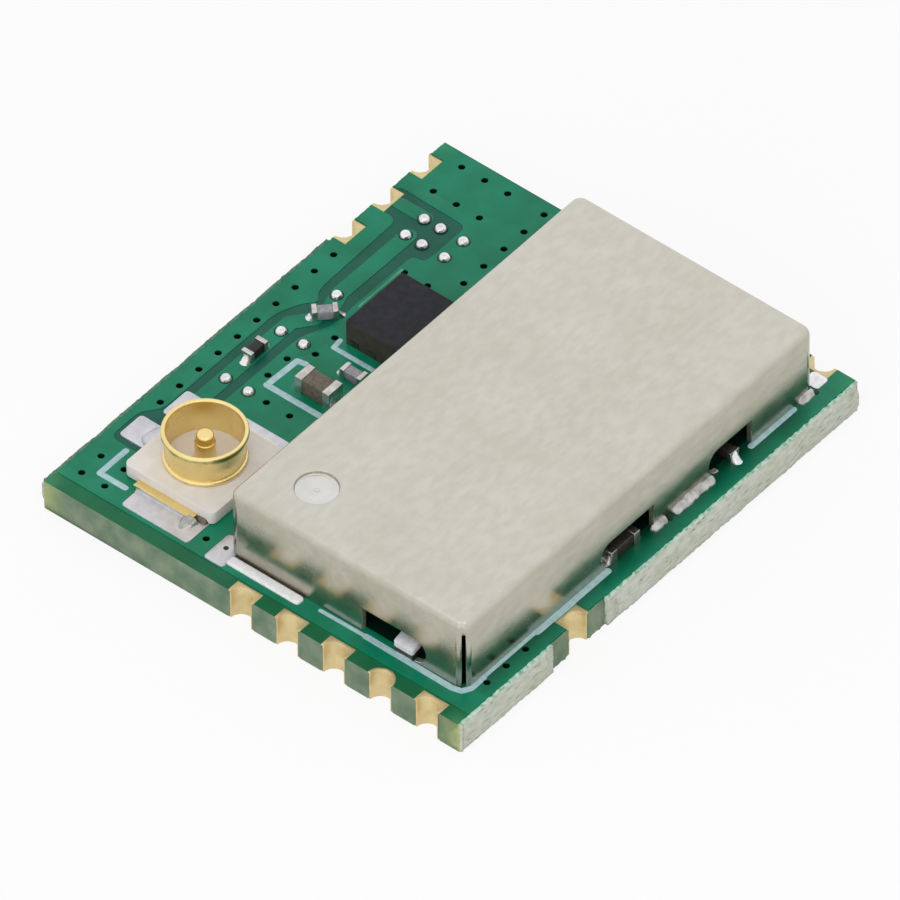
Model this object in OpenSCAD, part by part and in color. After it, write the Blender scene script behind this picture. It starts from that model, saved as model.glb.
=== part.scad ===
// Castellated radio module: a small circuit board that carries a folded shield can,
// a micro coax connector and the chips of its antenna line.
// Millimetres. The origin is the middle of the board's underside, +Z is up, the connector
// sits near the -X -Y corner and the can along the +X side.

/* [Board] */
// Thickness of the laminate with its solder mask
board_t = 0.85; // [0.6:0.05:1.6]
// Radius of the board's corners
board_corner_r = 0.1; // [0.05:0.05:0.3]
// Thickness of the copper lands, which lie flush with the mask
copper_t = 0.035; // [0.02:0.005:0.07]
// Board left free in front of the can
can_front_gap = 0.88; // [0.85:0.01:2]
// Board left free behind the can
can_back_gap = 0.82; // [0.82:0.01:2]
// Board left free on the can's right
can_right_gap = 0.63; // [0.6:0.005:2]
// How far the web of a snapped edge stands out past the scored top and underside
score_out = 0.1; // [0.04:0.01:0.15]
// Share of the thickness that the web takes up
score_share = 0.4; // [0.2:0.05:0.6]

/* [Edge contacts] */
// Distance between neighbouring contacts
contact_pitch = 1.35; // [1:0.01:1.6]
// Diameter of the half hole in the board's edge
contact_hole_d = 0.64; // [0.4:0.02:0.7]
// Gold border of the land on each side of the half hole
contact_land_border = 0.05; // [0.02:0.01:0.1]
// Depth of the land past the half hole
contact_land_depth = 0.04; // [0.02:0.01:0.15]
// Thickness of the plating in the half hole
plating_t = 0.03; // [0.02:0.005:0.06]
// Contacts on the front edge, and as many on the back edge
row_count = 5; // [3:1:6]
// Right edge of the board to the first contact of a row
row_end_gap = 1.0; // [0.8:0.05:1.5]
// Contacts on the left edge
left_count = 3; // [1:1:4]
// Back edge of the board to the first contact of the left edge
left_end_gap = 0.87; // [0.7:0.01:1.5]
// Front edge of the board to the contact on the right edge
right_contact_in = 4.2; // [3:0.1:6]
// Depth of the routed stretches of the left and right edges, which hold the contacts there
routed_depth = 0.1; // [0.04:0.02:0.2]
// Length of the routed stretch around the right contact
routed_l = 1.9; // [1.4:0.1:2.6]

/* [Vias] */
// Diameter of an open via
via_d = 0.17; // [0.1:0.01:0.25]
// Distance between the vias of a row
via_pitch = 0.675; // [0.5:0.005:0.8]
// Diameter of the solder dome on a filled via
dome_d = 0.3; // [0.2:0.01:0.4]
// Height of the solder dome
dome_h = 0.1; // [0.05:0.01:0.14]

/* [Shield can] */
// Outside length along X
can_l = 6.85; // [6.2:0.05:8]
// Outside width along Y
can_w = 12.3; // [11.6:0.05:14]
// Height above the board
can_h = 2; // [1.6:0.01:3]
// Thickness of the sheet
can_t = 0.15; // [0.1:0.01:0.18]
// Outside radius of the bend between top and wall
can_bend_r = 0.22; // [0.2:0.01:0.5]
// Outside radius of the upright corners
can_corner_r = 0.26; // [0.24:0.01:0.6]
// Width of the slit that parts two walls at a corner
slit_w = 0.09; // [0.05:0.01:0.2]
// Diameter of the round mark pressed into the top
mark_d = 1.03; // [0.6:0.01:1.5]
// Depth of the round mark
mark_depth = 0.1; // [0.08:0.01:0.14]
// Radius of the mark's shoulder and of the turn into its floor
mark_round = 0.04; // [0.02:0.005:0.04]
// Diameter of the punch dimple in the middle of the mark
dimple_d = 0.12; // [0.06:0.01:0.2]
// Height of the ports cut into the foot of the walls
port_h = 0.75; // [0.6:0.01:1.2]
// Length of the front port and of the first right port
port_l = 1.85; // [1.6:0.01:2.2]
// Length of the second right port
port_short_l = 1.5; // [1.3:0.01:1.8]

/* [Connector] */
// Side of the square insulator
conn_body = 2.6; // [2.4:0.05:3]
// Height of the insulator
conn_body_h = 0.35; // [0.3:0.01:0.5]
// Diameter of the ring over its rim
ring_d = 2; // [1.9:0.01:2.2]
// Height of the ring above the insulator
ring_h = 0.9; // [0.8:0.01:1.1]
// Thickness of the ring at its rim
ring_wall = 0.11; // [0.1:0.01:0.16]
// Diameter of the centre pin
pin_d = 0.48; // [0.4:0.01:0.6]
// Drop from the rim to the top of the pin
pin_drop = 0.13; // [0.05:0.01:0.3]
// Width of the two ground feet
foot_w = 1.7; // [1.4:0.05:2.3]
// Length of foot that stands out of the insulator
foot_out = 0.2; // [0.08:0.01:0.3]
// Thickness of the feet and of the signal tail
foot_t = 0.1; // [0.08:0.01:0.15]
// Thickness of solder on the connector's and the can's lands
tin_t = 0.05; // [0.03:0.01:0.1]
// Left edge of the board to the insulator
conn_edge_gap = 1.33; // [1.1:0.01:2]
// Front edge of the board to the insulator
conn_front_gap = 1.27; // [1:0.01:2]
// Insulator to the can
conn_can_gap = 0.795; // [0.6:0.005:2]

/* [Chips] */
// Length of a large chip
chip_l = 1; // [0.9:0.01:1.2]
// Width of a large chip
chip_w = 0.5; // [0.4:0.01:0.6]
// Height of a large chip
chip_h = 0.5; // [0.3:0.01:0.6]
// Length of a small chip
mini_l = 0.6; // [0.55:0.01:0.75]
// Width of a small chip
mini_w = 0.3; // [0.25:0.01:0.35]
// Height of a small chip
mini_h = 0.3; // [0.2:0.01:0.35]
// Thickness of the plated end of a chip
cap_t = 0.02; // [0.01:0.005:0.04]
// Radius of the solder fillet at a chip's end
fillet_r = 0.17; // [0.1:0.01:0.22]
// Side of the square memory package
memory_side = 2; // [1.8:0.05:2.2]
// Height of the memory package
memory_h = 0.75; // [0.5:0.01:0.9]
// Memory package to the can
memory_can_gap = 0.22; // [0.15:0.01:0.5]
// Side of the square radio package under the can
radio_side = 4; // [3.6:0.05:4.4]
// Height of the radio package
radio_h = 0.9; // [0.7:0.01:1.1]
// Length of the crystal package under the can
crystal_l = 2.5; // [2:0.05:2.8]
// Width of the crystal package
crystal_w = 2; // [1.6:0.05:2.2]
// Height of the crystal package
crystal_h = 0.56; // [0.4:0.01:0.8]
// Length of the power inductor under the can
choke_l = 2; // [1.6:0.05:2.2]
// Width of the power inductor
choke_w = 1.25; // [0.8:0.05:1.4]
// Height of the power inductor
choke_h = 0.85; // [0.6:0.05:1.2]

/* [Hidden] */
$fn = 48;
eps = 0.02;

// Board outline: the strip for the connector, the can and the free edges add up to it
strip_w = conn_edge_gap + conn_body + conn_can_gap;
board_l = strip_w + can_l + can_right_gap;
board_w = can_front_gap + can_w + can_back_gap;
score_low = board_t * (1 - score_share) / 2;
score_high = board_t - score_low;
snap_end_gap = 0.3;
left_routed_past = 0.5;
x_left = -board_l / 2;
x_right = board_l / 2;
y_front = -board_w / 2;
y_back = board_w / 2;

// Can
can_x = x_left + strip_w;
can_y = y_front + can_front_gap;
can_right = can_x + can_l;
can_in_x = can_x + can_t;
can_in_y = can_y + can_t;
can_in_right = can_right - can_t;
can_in_back = can_y + can_w - can_t;
port_sill = 0.06;
port_end_r = (port_h - port_sill) / 2;
port_front_in = 1.12;
port_right_in = 4.78;
port_back_in = 8.58;
port_front_x = can_right - port_front_in - port_l;
port_right_y = can_y + port_right_in;
port_back_y = can_y + port_back_in;
mark_in_x = 1.47;
mark_in_y = 1.34;
dimple_depth = 0.02;
slit_top_gap = 0.1;

// Connector
conn = [x_left + conn_edge_gap + conn_body / 2, y_front + conn_front_gap + conn_body / 2];
seat_z = board_t + tin_t;
ring_r = ring_d / 2;
neck_r = ring_r - 0.065;
bore_r = ring_r - ring_wall;
flange_r = ring_r - 0.025;
flange_round = 0.06;
neck_taper = 0.01;
neck_step = 0.05;
rim_h = 0.1;
riser_w = 0.44;
riser_t = neck_r - bore_r;
riser_bite = 0.04;
tail_w = 0.4;
tail_out = 0.28;
pin_r = pin_d / 2;
pin_head_h = 0.26;
pin_head_step = 0.03;
pin_head_round = 0.09;
conn_corner_r = 0.15;

// Tinned lands of the connector
ground_land_w = 2.1;
front_land_start = 0.75;
front_land_end = 1.2;
land_under = 0.2;
front_land_out = 0.77;
back_land_out = 0.52;
signal_land_l = 0.75;
signal_land_w = 0.8;
signal_land_gap = 0.17;
line_land_l = 0.58;
line_land_w = 0.9;
line_land_gap = 0.04;
line_land_start = 0.75;

// Antenna line, which runs along the left edge from the connector to the back
line_in = 1.14;
line_x = x_left + line_in;

// Chips in the strip beside the can
large = [chip_l, chip_w, chip_h];
small = [mini_l, mini_w, mini_h];
end_share = 0.2;
fillet_rise = 0.8;
inductor_right = 0.45;
inductor_behind = 5.42;
inductor_place = [line_x + inductor_right, conn[1] + inductor_behind, 45];
resistor_behind = 3.5;
resistor_place = [line_x, conn[1] + resistor_behind, 90];
bypass_can_gap = 1.14;
bypass_behind = 3.42;
bypass_place = [can_x - bypass_can_gap - chip_l / 2, conn[1] + bypass_behind, 0];
small_can_gap = 1.04;
small_gap = 0.47;
small_place = [can_x - small_can_gap - mini_l / 2, bypass_place[1] + (chip_w + mini_w) / 2 + small_gap, 0];
memory_gap = 0.62;
memory_place = [
  can_x - memory_can_gap - memory_side / 2,
  small_place[1] + (mini_w + memory_side) / 2 + memory_gap
];
lead_pitch = 0.5;
lead_w = 0.24;
lead_l = 0.35;
lead_h = 0.2;
paddle_l_share = 0.55;
paddle_w_share = 0.4;

// Chips in the ports of the can, clear of the wall on all sides
front_chip_in = 0.97;
front_chip_out = 0.02;
right_chip_in = 0.36;
right_chip_out = 0.01;
back_chip_in = 0.71;
back_chip_out = 0.04;
front_chip_place = [port_front_x + front_chip_in + chip_w / 2, can_y - front_chip_out + chip_l / 2, 90];
right_chip_place = [can_right + right_chip_out - chip_w / 2, port_right_y + right_chip_in + chip_l / 2, 90];
back_chip_place = [can_right + back_chip_out - mini_l / 2, port_back_y + back_chip_in + mini_w / 2, 0];
low_h = 0.36;
low = [chip_l, chip_w, low_h];

// Under the can
inner_gap = 0.3;
wall_gap = 0.55;
crystal_front_gap = 0.9;
crystal_left_gap = 1.3;
crystal_place = [
  can_in_x + crystal_left_gap + crystal_l / 2,
  can_in_y + crystal_front_gap + crystal_w / 2
];
crystal_lid_h = 0.12;
crystal_rim = 0.12;
radio_leads = 6;
radio_place = [
  can_in_x + 2 * inner_gap + chip_w + radio_side / 2,
  crystal_place[1] + (crystal_w + radio_side) / 2 + inner_gap
];
choke = [choke_l, choke_w, choke_h];
choke_place = [can_in_x + wall_gap + choke_w / 2, can_in_back - wall_gap - choke_l / 2, 90];
row_step = chip_l + inner_gap;
matching_places = [
  for (i = [0 : 2], j = [0 : 1])
    [
      can_in_right - wall_gap - chip_w / 2 - i * (chip_w + inner_gap),
      can_in_back - wall_gap - chip_l / 2 - j * row_step,
      90
    ]
];
decoupling_places = [
  for (j = [0 : 3])
    [can_in_x + inner_gap + chip_w / 2, radio_place[1] + (j - 1.5) * row_step, 90]
];
crystal_chip_places = [
  for (side = [-1, 1])
    [
      crystal_place[0] + (crystal_l + mini_l) / 2 + inner_gap,
      crystal_place[1] + side * (mini_w + inner_gap),
      0
    ]
];

// Contacts on the board's edge as [x, y, turn], the turn points the land into the board
contact_r = contact_hole_d / 2;
contact_land_w = contact_hole_d + 2 * contact_land_border;
contact_land_d = contact_r + contact_land_depth;
row_x = [for (i = [0 : row_count - 1]) x_right - row_end_gap - i * contact_pitch];
masked_contact = 1;
contacts = concat(
  [for (x = row_x) [x, y_front, 0]],
  [for (x = row_x) [x, y_back, 180]],
  [for (i = [0 : left_count - 1]) [x_left + routed_depth, y_back - left_end_gap - i * contact_pitch, -90]],
  [[x_right - routed_depth, y_front + right_contact_in, 90]]
);

// Snapped stretches of the left and right edges as [start, end]
right_routed = y_front + right_contact_in - routed_l / 2;
left_routed = y_back - left_end_gap - (left_count - 1) * contact_pitch - left_routed_past;
right_snaps = [
  [y_front + board_corner_r, right_routed - snap_end_gap],
  [right_routed + routed_l + snap_end_gap, y_back - board_corner_r]
];
left_snap = [y_front + board_corner_r, left_routed - snap_end_gap];

// Solder domes on filled vias: a group near the back, pairs across the line, one by the inductor
dome_pitch = 0.66;
dome_group_right = 0.2;
dome_group_step = 0.48;
dome_group_in = 2.21;
dome_behind = 2.485;
dome_far_behind = 4.42;
dome_bend_right = 0.23;
dome_bend_gap = 0.68;
dome_group_x = dome_group_right + dome_group_step;
dome_places = concat(
  [for (x = [dome_group_right, dome_group_x, dome_group_x + dome_pitch], j = [0, 1])
    [line_x + x, y_back - dome_group_in - j * dome_pitch]],
  [[line_x + dome_bend_right, inductor_place[1] + dome_bend_gap]],
  [for (behind = [dome_behind, dome_far_behind], i = [0, 1]) [line_x + i * dome_pitch, conn[1] + behind]]
);

// Open vias, in rows and small groups as the copper pours need them
via_left_in = 0.48;
via_row_behind = 0.98;
via_corner_in = 0.55;
via_corner_up = 0.73;
via_conn_gap = 0.12;
via_conn_up = 0.9;
via_cap_right = 1.19;
via_resistor_right = 0.66;
via_resistor_behind = 3.17;
via_line_right = 1.06;
via_line_behind = 4.36;
via_memory_right = 0.94;
via_memory_gap = 0.57;
via_can_gap = 1.39;
via_back_in = 0.385;
via_back_pitch = 0.71;
via_group_in = 0.92;
via_group_pitch = 1;
via_right_gap = 0.205;
via_right_up = 1.41;
via_places = concat(
  [for (i = [0 : 9]) [x_left + via_left_in, conn[1] + via_row_behind + i * via_pitch]],
  [for (i = [0, 1], j = [0, 1])
    [x_left + via_corner_in + i * via_pitch, y_front + via_corner_up + j * via_pitch]],
  [[conn[0] + conn_body / 2 + via_conn_gap, y_front + via_conn_up]],
  [for (i = [0, 1]) [line_x + via_cap_right + i * via_pitch, conn[1] + dome_behind]],
  [for (j = [0, 1]) [line_x + via_resistor_right, conn[1] + via_resistor_behind + j * via_pitch]],
  [for (j = [0, 1]) [line_x + via_line_right, conn[1] + via_line_behind + j * via_pitch]],
  [for (i = [0, 1])
    [line_x + via_memory_right + i * via_pitch, memory_place[1] + memory_side / 2 + via_memory_gap]],
  [for (j = [0 : 4]) [can_x - via_can_gap, y_back - via_back_in - j * via_back_pitch]],
  [for (i = [0 : 2], j = [0, 1])
    [x_left + via_group_in + i * via_pitch, y_back - via_back_in - j * via_group_pitch]],
  [for (j = [0 : 2]) [can_right + via_right_gap, y_front + via_right_up + j * via_pitch]]
);

// Solder beads along the can's foot, each with a start, a length and a radius
front_bead_l = 2;
front_bead_r = 0.3;
right_bead_gap = 0.02;
right_bead_l = 0.62;
right_bead_r = 0.17;
back_bead_gap = 0.1;
back_bead_l = 1.2;
back_bead_r = 0.2;
corner_bead_in = 0.12;
corner_bead_l = 0.4;
corner_bead_r = 0.16;
right_bead_y = port_right_y + port_l + right_bead_gap;
right_beads = [
  [right_bead_y, right_bead_l, right_bead_r],
  [right_bead_y + right_bead_l + back_bead_gap, back_bead_l, back_bead_r],
  [can_y + can_w - corner_bead_in - corner_bead_l, corner_bead_l, corner_bead_r]
];
bead_hollow = 1.08;

// Tinned lands at the can's left front corner and at its right back corner
front_land_l = 0.57;
front_land_w = 0.93;
front_land_lap_x = 0.2;
front_land_lap_y = 0.46;
back_land_l = 0.46;
back_land_w = 0.44;
back_land_past = 0.08;

function arc(c, r, from, to, n = 6) =
  [for (i = [0 : n]) let (a = from + (to - from) * i / n) c + r * [cos(a), sin(a)]];

function rounded_rect(l, w, r) = concat(
  arc([l - r, w - r], r, 0, 90),
  arc([r, w - r], r, 90, 180),
  arc([r, r], r, 180, 270),
  arc([l - r, r], r, 270, 360)
);

// Stands a piece on the board's top at [x, y, turn]
module on_board(place) {
  translate([place[0], place[1], board_t])
    rotate([0, 0, len(place) > 2 ? place[2] : 0])
      children();
}

module block(size) {
  translate([-size[0] / 2, -size[1] / 2, 0])
    cube(size);
}

// Board

module board_outline() {
  difference() {
    translate([x_left, y_front])
      polygon(rounded_rect(board_l, board_w, board_corner_r));
    translate([x_right - routed_depth, right_routed])
      square([2 * routed_depth, routed_l]);
    translate([x_left - routed_depth, left_routed])
      square([2 * routed_depth, board_w]);
    for (c = contacts)
      translate([c[0], c[1]])
        circle(r = contact_r);
  }
}

// Web left by scoring and snapping an edge, along +Y and out towards +X
module snapped_edge(stretch) {
  translate([0, stretch[1], 0])
    rotate([90, 0, 0])
      linear_extrude(stretch[1] - stretch[0])
        polygon([
          [-eps, 0], [0, 0], [score_out, score_low],
          [score_out, score_high], [0, board_t], [-eps, board_t]
        ]);
}

module contact_land(index) {
  if (index == masked_contact)
    circle(r = contact_land_d);
  else
    translate([-contact_land_w / 2, -contact_r])
      square([contact_land_w, contact_r + contact_land_d]);
}

module contact_lands_2d(inner_r) {
  for (i = [0 : len(contacts) - 1])
    translate([contacts[i][0], contacts[i][1]])
      rotate(contacts[i][2])
        difference() {
          intersection() {
            contact_land(i);
            translate([-contact_land_w, 0])
              square([2 * contact_land_w, 2 * contact_land_d]);
          }
          circle(r = inner_r);
        }
}

module board() {
  color("seagreen")
    difference() {
      union() {
        linear_extrude(board_t)
          board_outline();
        for (s = right_snaps)
          translate([x_right, 0, 0])
            snapped_edge(s);
        translate([x_left, 0, 0])
          mirror([1, 0, 0])
            snapped_edge(left_snap);
      }
      for (z = [-eps, board_t - copper_t])
        translate([0, 0, z])
          linear_extrude(copper_t + eps)
            contact_lands_2d(contact_r - plating_t);
      for (v = via_places)
        translate([v[0], v[1], -eps])
          cylinder(d = via_d, h = board_t + 2 * eps);
    }
}

module edge_contacts() {
  color("goldenrod")
    for (i = [0 : len(contacts) - 1])
      translate([contacts[i][0], contacts[i][1], 0])
        rotate([0, 0, contacts[i][2]])
          difference() {
            intersection() {
              union() {
                cylinder(r = contact_r, h = board_t);
                for (z = [0, board_t - copper_t])
                  translate([0, 0, z])
                    linear_extrude(copper_t)
                      contact_land(i);
              }
              translate([-contact_land_w, 0, -eps])
                cube([2 * contact_land_w, 2 * contact_land_d, board_t + 2 * eps]);
            }
            translate([0, 0, -eps])
              cylinder(r = contact_r - plating_t, h = board_t + 2 * eps);
          }
}

module via_solder_domes() {
  sphere_r = (dome_d * dome_d / 4 + dome_h * dome_h) / (2 * dome_h);
  color("silver")
    for (d = dome_places)
      on_board(d)
        intersection() {
          translate([0, 0, dome_h - sphere_r])
            sphere(r = sphere_r);
          cylinder(d = 2 * dome_d, h = 2 * dome_h);
        }
}

// Shield can

// Solid with bent top edges and round upright corners, from the board up to height h
module can_form(l, w, h, bend, corner) {
  for (x = [0, 1], y = [0, 1])
    translate([x * l, y * w, 0])
      mirror([x, 0, 0])
        mirror([0, y, 0])
          translate([corner, corner, 0])
            rotate([0, 0, 180])
              rotate_extrude(angle = 90)
                corner_section(corner, h, bend);
  translate([0, w - corner, 0])
    rotate([90, 0, 0])
      linear_extrude(w - 2 * corner)
        can_section(l, h, bend);
  translate([corner, 0, 0])
    rotate([90, 0, 90])
      linear_extrude(l - 2 * corner)
        can_section(w, h, bend);
}

module corner_section(corner, h, bend) {
  polygon(concat(
    [[0, 0], [corner, 0]],
    arc([corner - bend, h - bend], bend, 0, 90),
    [[0, h]]
  ));
}

module can_section(width, h, bend) {
  polygon(concat(
    [[0, 0], [width, 0]],
    arc([width - bend, h - bend], bend, 0, 90),
    arc([bend, h - bend], bend, 90, 180)
  ));
}

// Pressed mark, cut downwards from the top: round shoulder, round turn into the floor, punch dimple
module mark_recess() {
  mark_r = mark_d / 2;
  dimple_r = dimple_d / 2;
  dimple_sphere_r = (dimple_r * dimple_r + dimple_depth * dimple_depth) / (2 * dimple_depth);
  rotate_extrude()
    polygon(concat(
      [[0, eps], [0, -mark_depth]],
      arc([mark_r - mark_round, mark_round - mark_depth], mark_round, -90, 0),
      arc([mark_r + mark_round, -mark_round], mark_round, 180, 90),
      [[mark_r + mark_round, eps]]
    ));
  translate([0, 0, dimple_sphere_r - mark_depth - dimple_depth])
    sphere(r = dimple_sphere_r);
}

// Port in the foot of a wall: square at its start, round at its end
module port_2d(l) {
  translate([0, -eps])
    square([l - port_end_r, port_h + eps]);
  translate([l - port_end_r, port_h - port_end_r])
    circle(r = port_end_r);
}

module can_ports() {
  translate([port_front_x - can_x, can_t * 2, 0])
    rotate([90, 0, 0])
      linear_extrude(can_t * 3)
        port_2d(port_l);
  for (p = [[port_right_y, port_l], [port_back_y, port_short_l]])
    translate([can_l - can_t * 2, p[0] - can_y + p[1], 0])
      rotate([90, 0, 90])
        linear_extrude(can_t * 3)
          mirror([1, 0])
            port_2d(p[1]);
}

module can_slits() {
  slit_h = can_h - can_bend_r - slit_top_gap;
  for (x = [0, can_l], y = [0, can_w])
    translate([x, y, -eps])
      rotate([0, 0, x * can_w == y * can_l ? 45 : -45])
        translate([-2 * can_corner_r, -slit_w / 2, 0])
          cube([4 * can_corner_r, slit_w, slit_h]);
}

module shield_can() {
  color("lightgray")
    translate([can_x, can_y, board_t])
      difference() {
        can_form(can_l, can_w, can_h, can_bend_r, can_corner_r);
        difference() {
          translate([can_t, can_t, -eps])
            can_form(
              can_l - 2 * can_t, can_w - 2 * can_t, can_h - can_t + eps,
              can_bend_r - can_t, can_corner_r - can_t
            );
          translate([mark_in_x, mark_in_y, can_h - can_t - mark_depth])
            cylinder(d = mark_d + can_t, h = can_t);
        }
        translate([mark_in_x, mark_in_y, can_h])
          mark_recess();
        can_ports();
        can_slits();
      }
}

// Solder that has climbed a wall: a bead with a hollow face
module bead(l, r) {
  rotate([90, 0, 90])
    linear_extrude(l)
      difference() {
        square(r);
        translate([r * bead_hollow, r * bead_hollow])
          circle(r = r);
      }
}

module corner_lands() {
  difference() {
    linear_extrude(tin_t) {
      translate([can_x + front_land_lap_x - front_land_l, can_y + front_land_lap_y - front_land_w])
        square([front_land_l, front_land_w]);
      translate([can_right + back_land_past - back_land_l, can_y + can_w])
        square([back_land_l, back_land_w]);
    }
    translate([can_x, can_y, -eps])
      can_form(can_l, can_w, can_h, can_bend_r, can_corner_r);
  }
}

module can_solder() {
  color("gainsboro") {
    translate([0, 0, board_t])
      corner_lands();
    translate([can_x + can_corner_r + front_bead_l, can_y, board_t])
      rotate([0, 0, 180])
        bead(front_bead_l, front_bead_r);
    for (b = right_beads)
      translate([can_right, b[0] + b[1], board_t])
        rotate([0, 0, -90])
          bead(b[1], b[2]);
  }
}

// Micro coax connector

module conn_land(x, y, l, w) {
  translate([conn[0] + x, conn[1] + y, board_t])
    cube([l, w, tin_t]);
}

module connector_lands() {
  color("gainsboro") {
    half = conn_body / 2;
    conn_land(
      -front_land_start, -half - front_land_out,
      front_land_start + front_land_end, front_land_out + land_under
    );
    conn_land(-ground_land_w / 2, half - land_under, ground_land_w, back_land_out + land_under);
    conn_land(-half - signal_land_gap - signal_land_l, -signal_land_w / 2, signal_land_l, signal_land_w);
    conn_land(-half - line_land_gap - line_land_l, line_land_start, line_land_l, line_land_w);
  }
}

// Ring of the outer contact: round flange, neck for the plug's snap, straight rim with a round top
module ring() {
  rim_top = ring_h - ring_wall / 2;
  rim_z = rim_top - rim_h;
  rotate_extrude()
    polygon(concat(
      [[bore_r, 0]],
      arc([flange_r - flange_round, flange_round], flange_round, -90, 90, 8),
      [[neck_r, 2 * flange_round + neck_step], [neck_r + neck_taper, rim_z - neck_step], [ring_r, rim_z]],
      arc([ring_r - ring_wall / 2, rim_top], ring_wall / 2, 0, 180, 8)
    ));
}

module coax_outer_contact() {
  color("gold")
    translate([conn[0], conn[1], seat_z]) {
      translate([0, 0, conn_body_h])
        ring();
      for (turn = [0, 180])
        rotate([0, 0, turn]) {
          translate([-riser_w / 2, bore_r, 0])
            cube([riser_w, riser_t, conn_body_h + riser_bite]);
          translate([-foot_w / 2, bore_r, 0])
            cube([foot_w, conn_body / 2 + foot_out - bore_r, foot_t]);
        }
    }
}

module coax_centre_contact() {
  pin_top = conn_body_h + ring_h - pin_drop;
  shoulder = pin_top - pin_head_h;
  head_r = pin_r - pin_head_step;
  color("gold")
    translate([conn[0], conn[1], seat_z]) {
      rotate_extrude()
        polygon(concat(
          [[0, 0], [pin_r, 0], [pin_r, shoulder], [head_r, shoulder + pin_head_step]],
          arc([head_r - pin_head_round, pin_top - pin_head_round], pin_head_round, 0, 90, 5),
          [[0, pin_top]]
        ));
      translate([-conn_body / 2 - tail_out, -tail_w / 2, 0])
        cube([conn_body / 2 + tail_out, tail_w, foot_t]);
    }
}

module coax_insulator() {
  color("white")
    difference() {
      translate([conn[0] - conn_body / 2, conn[1] - conn_body / 2, seat_z])
        linear_extrude(conn_body_h)
          polygon(rounded_rect(conn_body, conn_body, conn_corner_r));
      coax_outer_contact();
      coax_centre_contact();
    }
}

// Chips

module chip_core(size) {
  translate([0, 0, cap_t])
    block([size[0] - 2 * cap_t, size[1] - 2 * cap_t, size[2] - 2 * cap_t]);
}

module chip_caps(size) {
  cap_l = size[0] * end_share;
  difference() {
    for (side = [-1, 1])
      translate([side * (size[0] - cap_l) / 2, 0, 0])
        block([cap_l, size[1], size[2]]);
    chip_core(size);
  }
}

module chip_fillets(size) {
  for (turn = [0, 180])
    rotate([0, 0, turn])
      translate([size[0] / 2, size[1] / 2, 0])
        rotate([0, 0, -90])
          bead(size[1], min(fillet_r, size[2] * fillet_rise));
}

module bend_inductor() {
  color("darkgray")
    on_board(inductor_place)
      chip_core(small);
}

module bend_inductor_ends() {
  color("silver")
    on_board(inductor_place)
      chip_caps(small);
}

module series_resistor() {
  color("dimgray")
    on_board(resistor_place)
      chip_core(small);
}

module series_resistor_ends() {
  color("silver")
    on_board(resistor_place)
      chip_caps(small);
}

module bypass_capacitor() {
  color("rosybrown")
    on_board(bypass_place)
      chip_core(large);
}

module bypass_capacitor_ends() {
  color("silver")
    on_board(bypass_place)
      chip_caps(large);
}

module small_capacitor() {
  color("darkgray")
    on_board(small_place)
      chip_core(small);
}

module small_capacitor_ends() {
  color("silver")
    on_board(small_place)
      chip_caps(small);
}

module chip_solder() {
  color("gainsboro") {
    for (p = [inductor_place, resistor_place, small_place])
      on_board(p)
        chip_fillets(small);
    on_board(bypass_place)
      chip_fillets(large);
  }
}

module front_port_chip() {
  color("tan")
    on_board(front_chip_place)
      chip_core(low);
}

module front_port_chip_ends() {
  color("silver")
    on_board(front_chip_place)
      chip_caps(low);
}

module right_port_chip() {
  color("tan")
    on_board(right_chip_place)
      chip_core(low);
}

module right_port_chip_ends() {
  color("silver")
    on_board(right_chip_place)
      chip_caps(low);
}

module back_port_chip() {
  color("tan")
    on_board(back_chip_place)
      chip_core(small);
}

module back_port_chip_ends() {
  color("silver")
    on_board(back_chip_place)
      chip_caps(small);
}

// Flat packages: a moulded block with leads let into its underside

module package_leads(side, per_side, sides) {
  for (turn = sides, i = [0 : per_side - 1])
    rotate([0, 0, turn])
      translate([(i - (per_side - 1) / 2) * lead_pitch - lead_w / 2, side / 2 - lead_l, 0])
        cube([lead_w, lead_l, lead_h]);
  block([side * paddle_l_share, side * paddle_w_share, lead_h]);
}

module package_body(side, h, per_side, sides) {
  difference() {
    block([side, side, h]);
    package_leads(side, per_side, sides);
  }
}

module memory_ic() {
  color("dimgray")
    on_board(memory_place)
      package_body(memory_side, memory_h, 4, [0, 180]);
}

module memory_ic_leads() {
  color("silver")
    on_board(memory_place)
      package_leads(memory_side, 4, [0, 180]);
}

module radio_ic() {
  color("dimgray")
    on_board(radio_place)
      package_body(radio_side, radio_h, radio_leads, [0, 90, 180, 270]);
}

module radio_ic_leads() {
  color("silver")
    on_board(radio_place)
      package_leads(radio_side, radio_leads, [0, 90, 180, 270]);
}

module crystal_base() {
  color("beige")
    on_board(crystal_place)
      block([crystal_l, crystal_w, crystal_h - crystal_lid_h]);
}

module crystal_lid() {
  color("silver")
    on_board(crystal_place)
      translate([0, 0, crystal_h - crystal_lid_h])
        block([crystal_l - 2 * crystal_rim, crystal_w - 2 * crystal_rim, crystal_lid_h]);
}

module power_inductor() {
  color("slategray")
    on_board(choke_place)
      chip_core(choke);
}

module power_inductor_ends() {
  color("silver")
    on_board(choke_place)
      chip_caps(choke);
}

module matching_chips() {
  color("tan")
    for (p = matching_places)
      on_board(p)
        chip_core(large);
}

module matching_chip_ends() {
  color("silver")
    for (p = matching_places)
      on_board(p)
        chip_caps(large);
}

module decoupling_chips() {
  color("tan")
    for (p = decoupling_places)
      on_board(p)
        chip_core(large);
}

module decoupling_chip_ends() {
  color("silver")
    for (p = decoupling_places)
      on_board(p)
        chip_caps(large);
}

module crystal_capacitors() {
  color("tan")
    for (p = crystal_chip_places)
      on_board(p)
        chip_core(small);
}

module crystal_capacitor_ends() {
  color("silver")
    for (p = crystal_chip_places)
      on_board(p)
        chip_caps(small);
}

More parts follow.
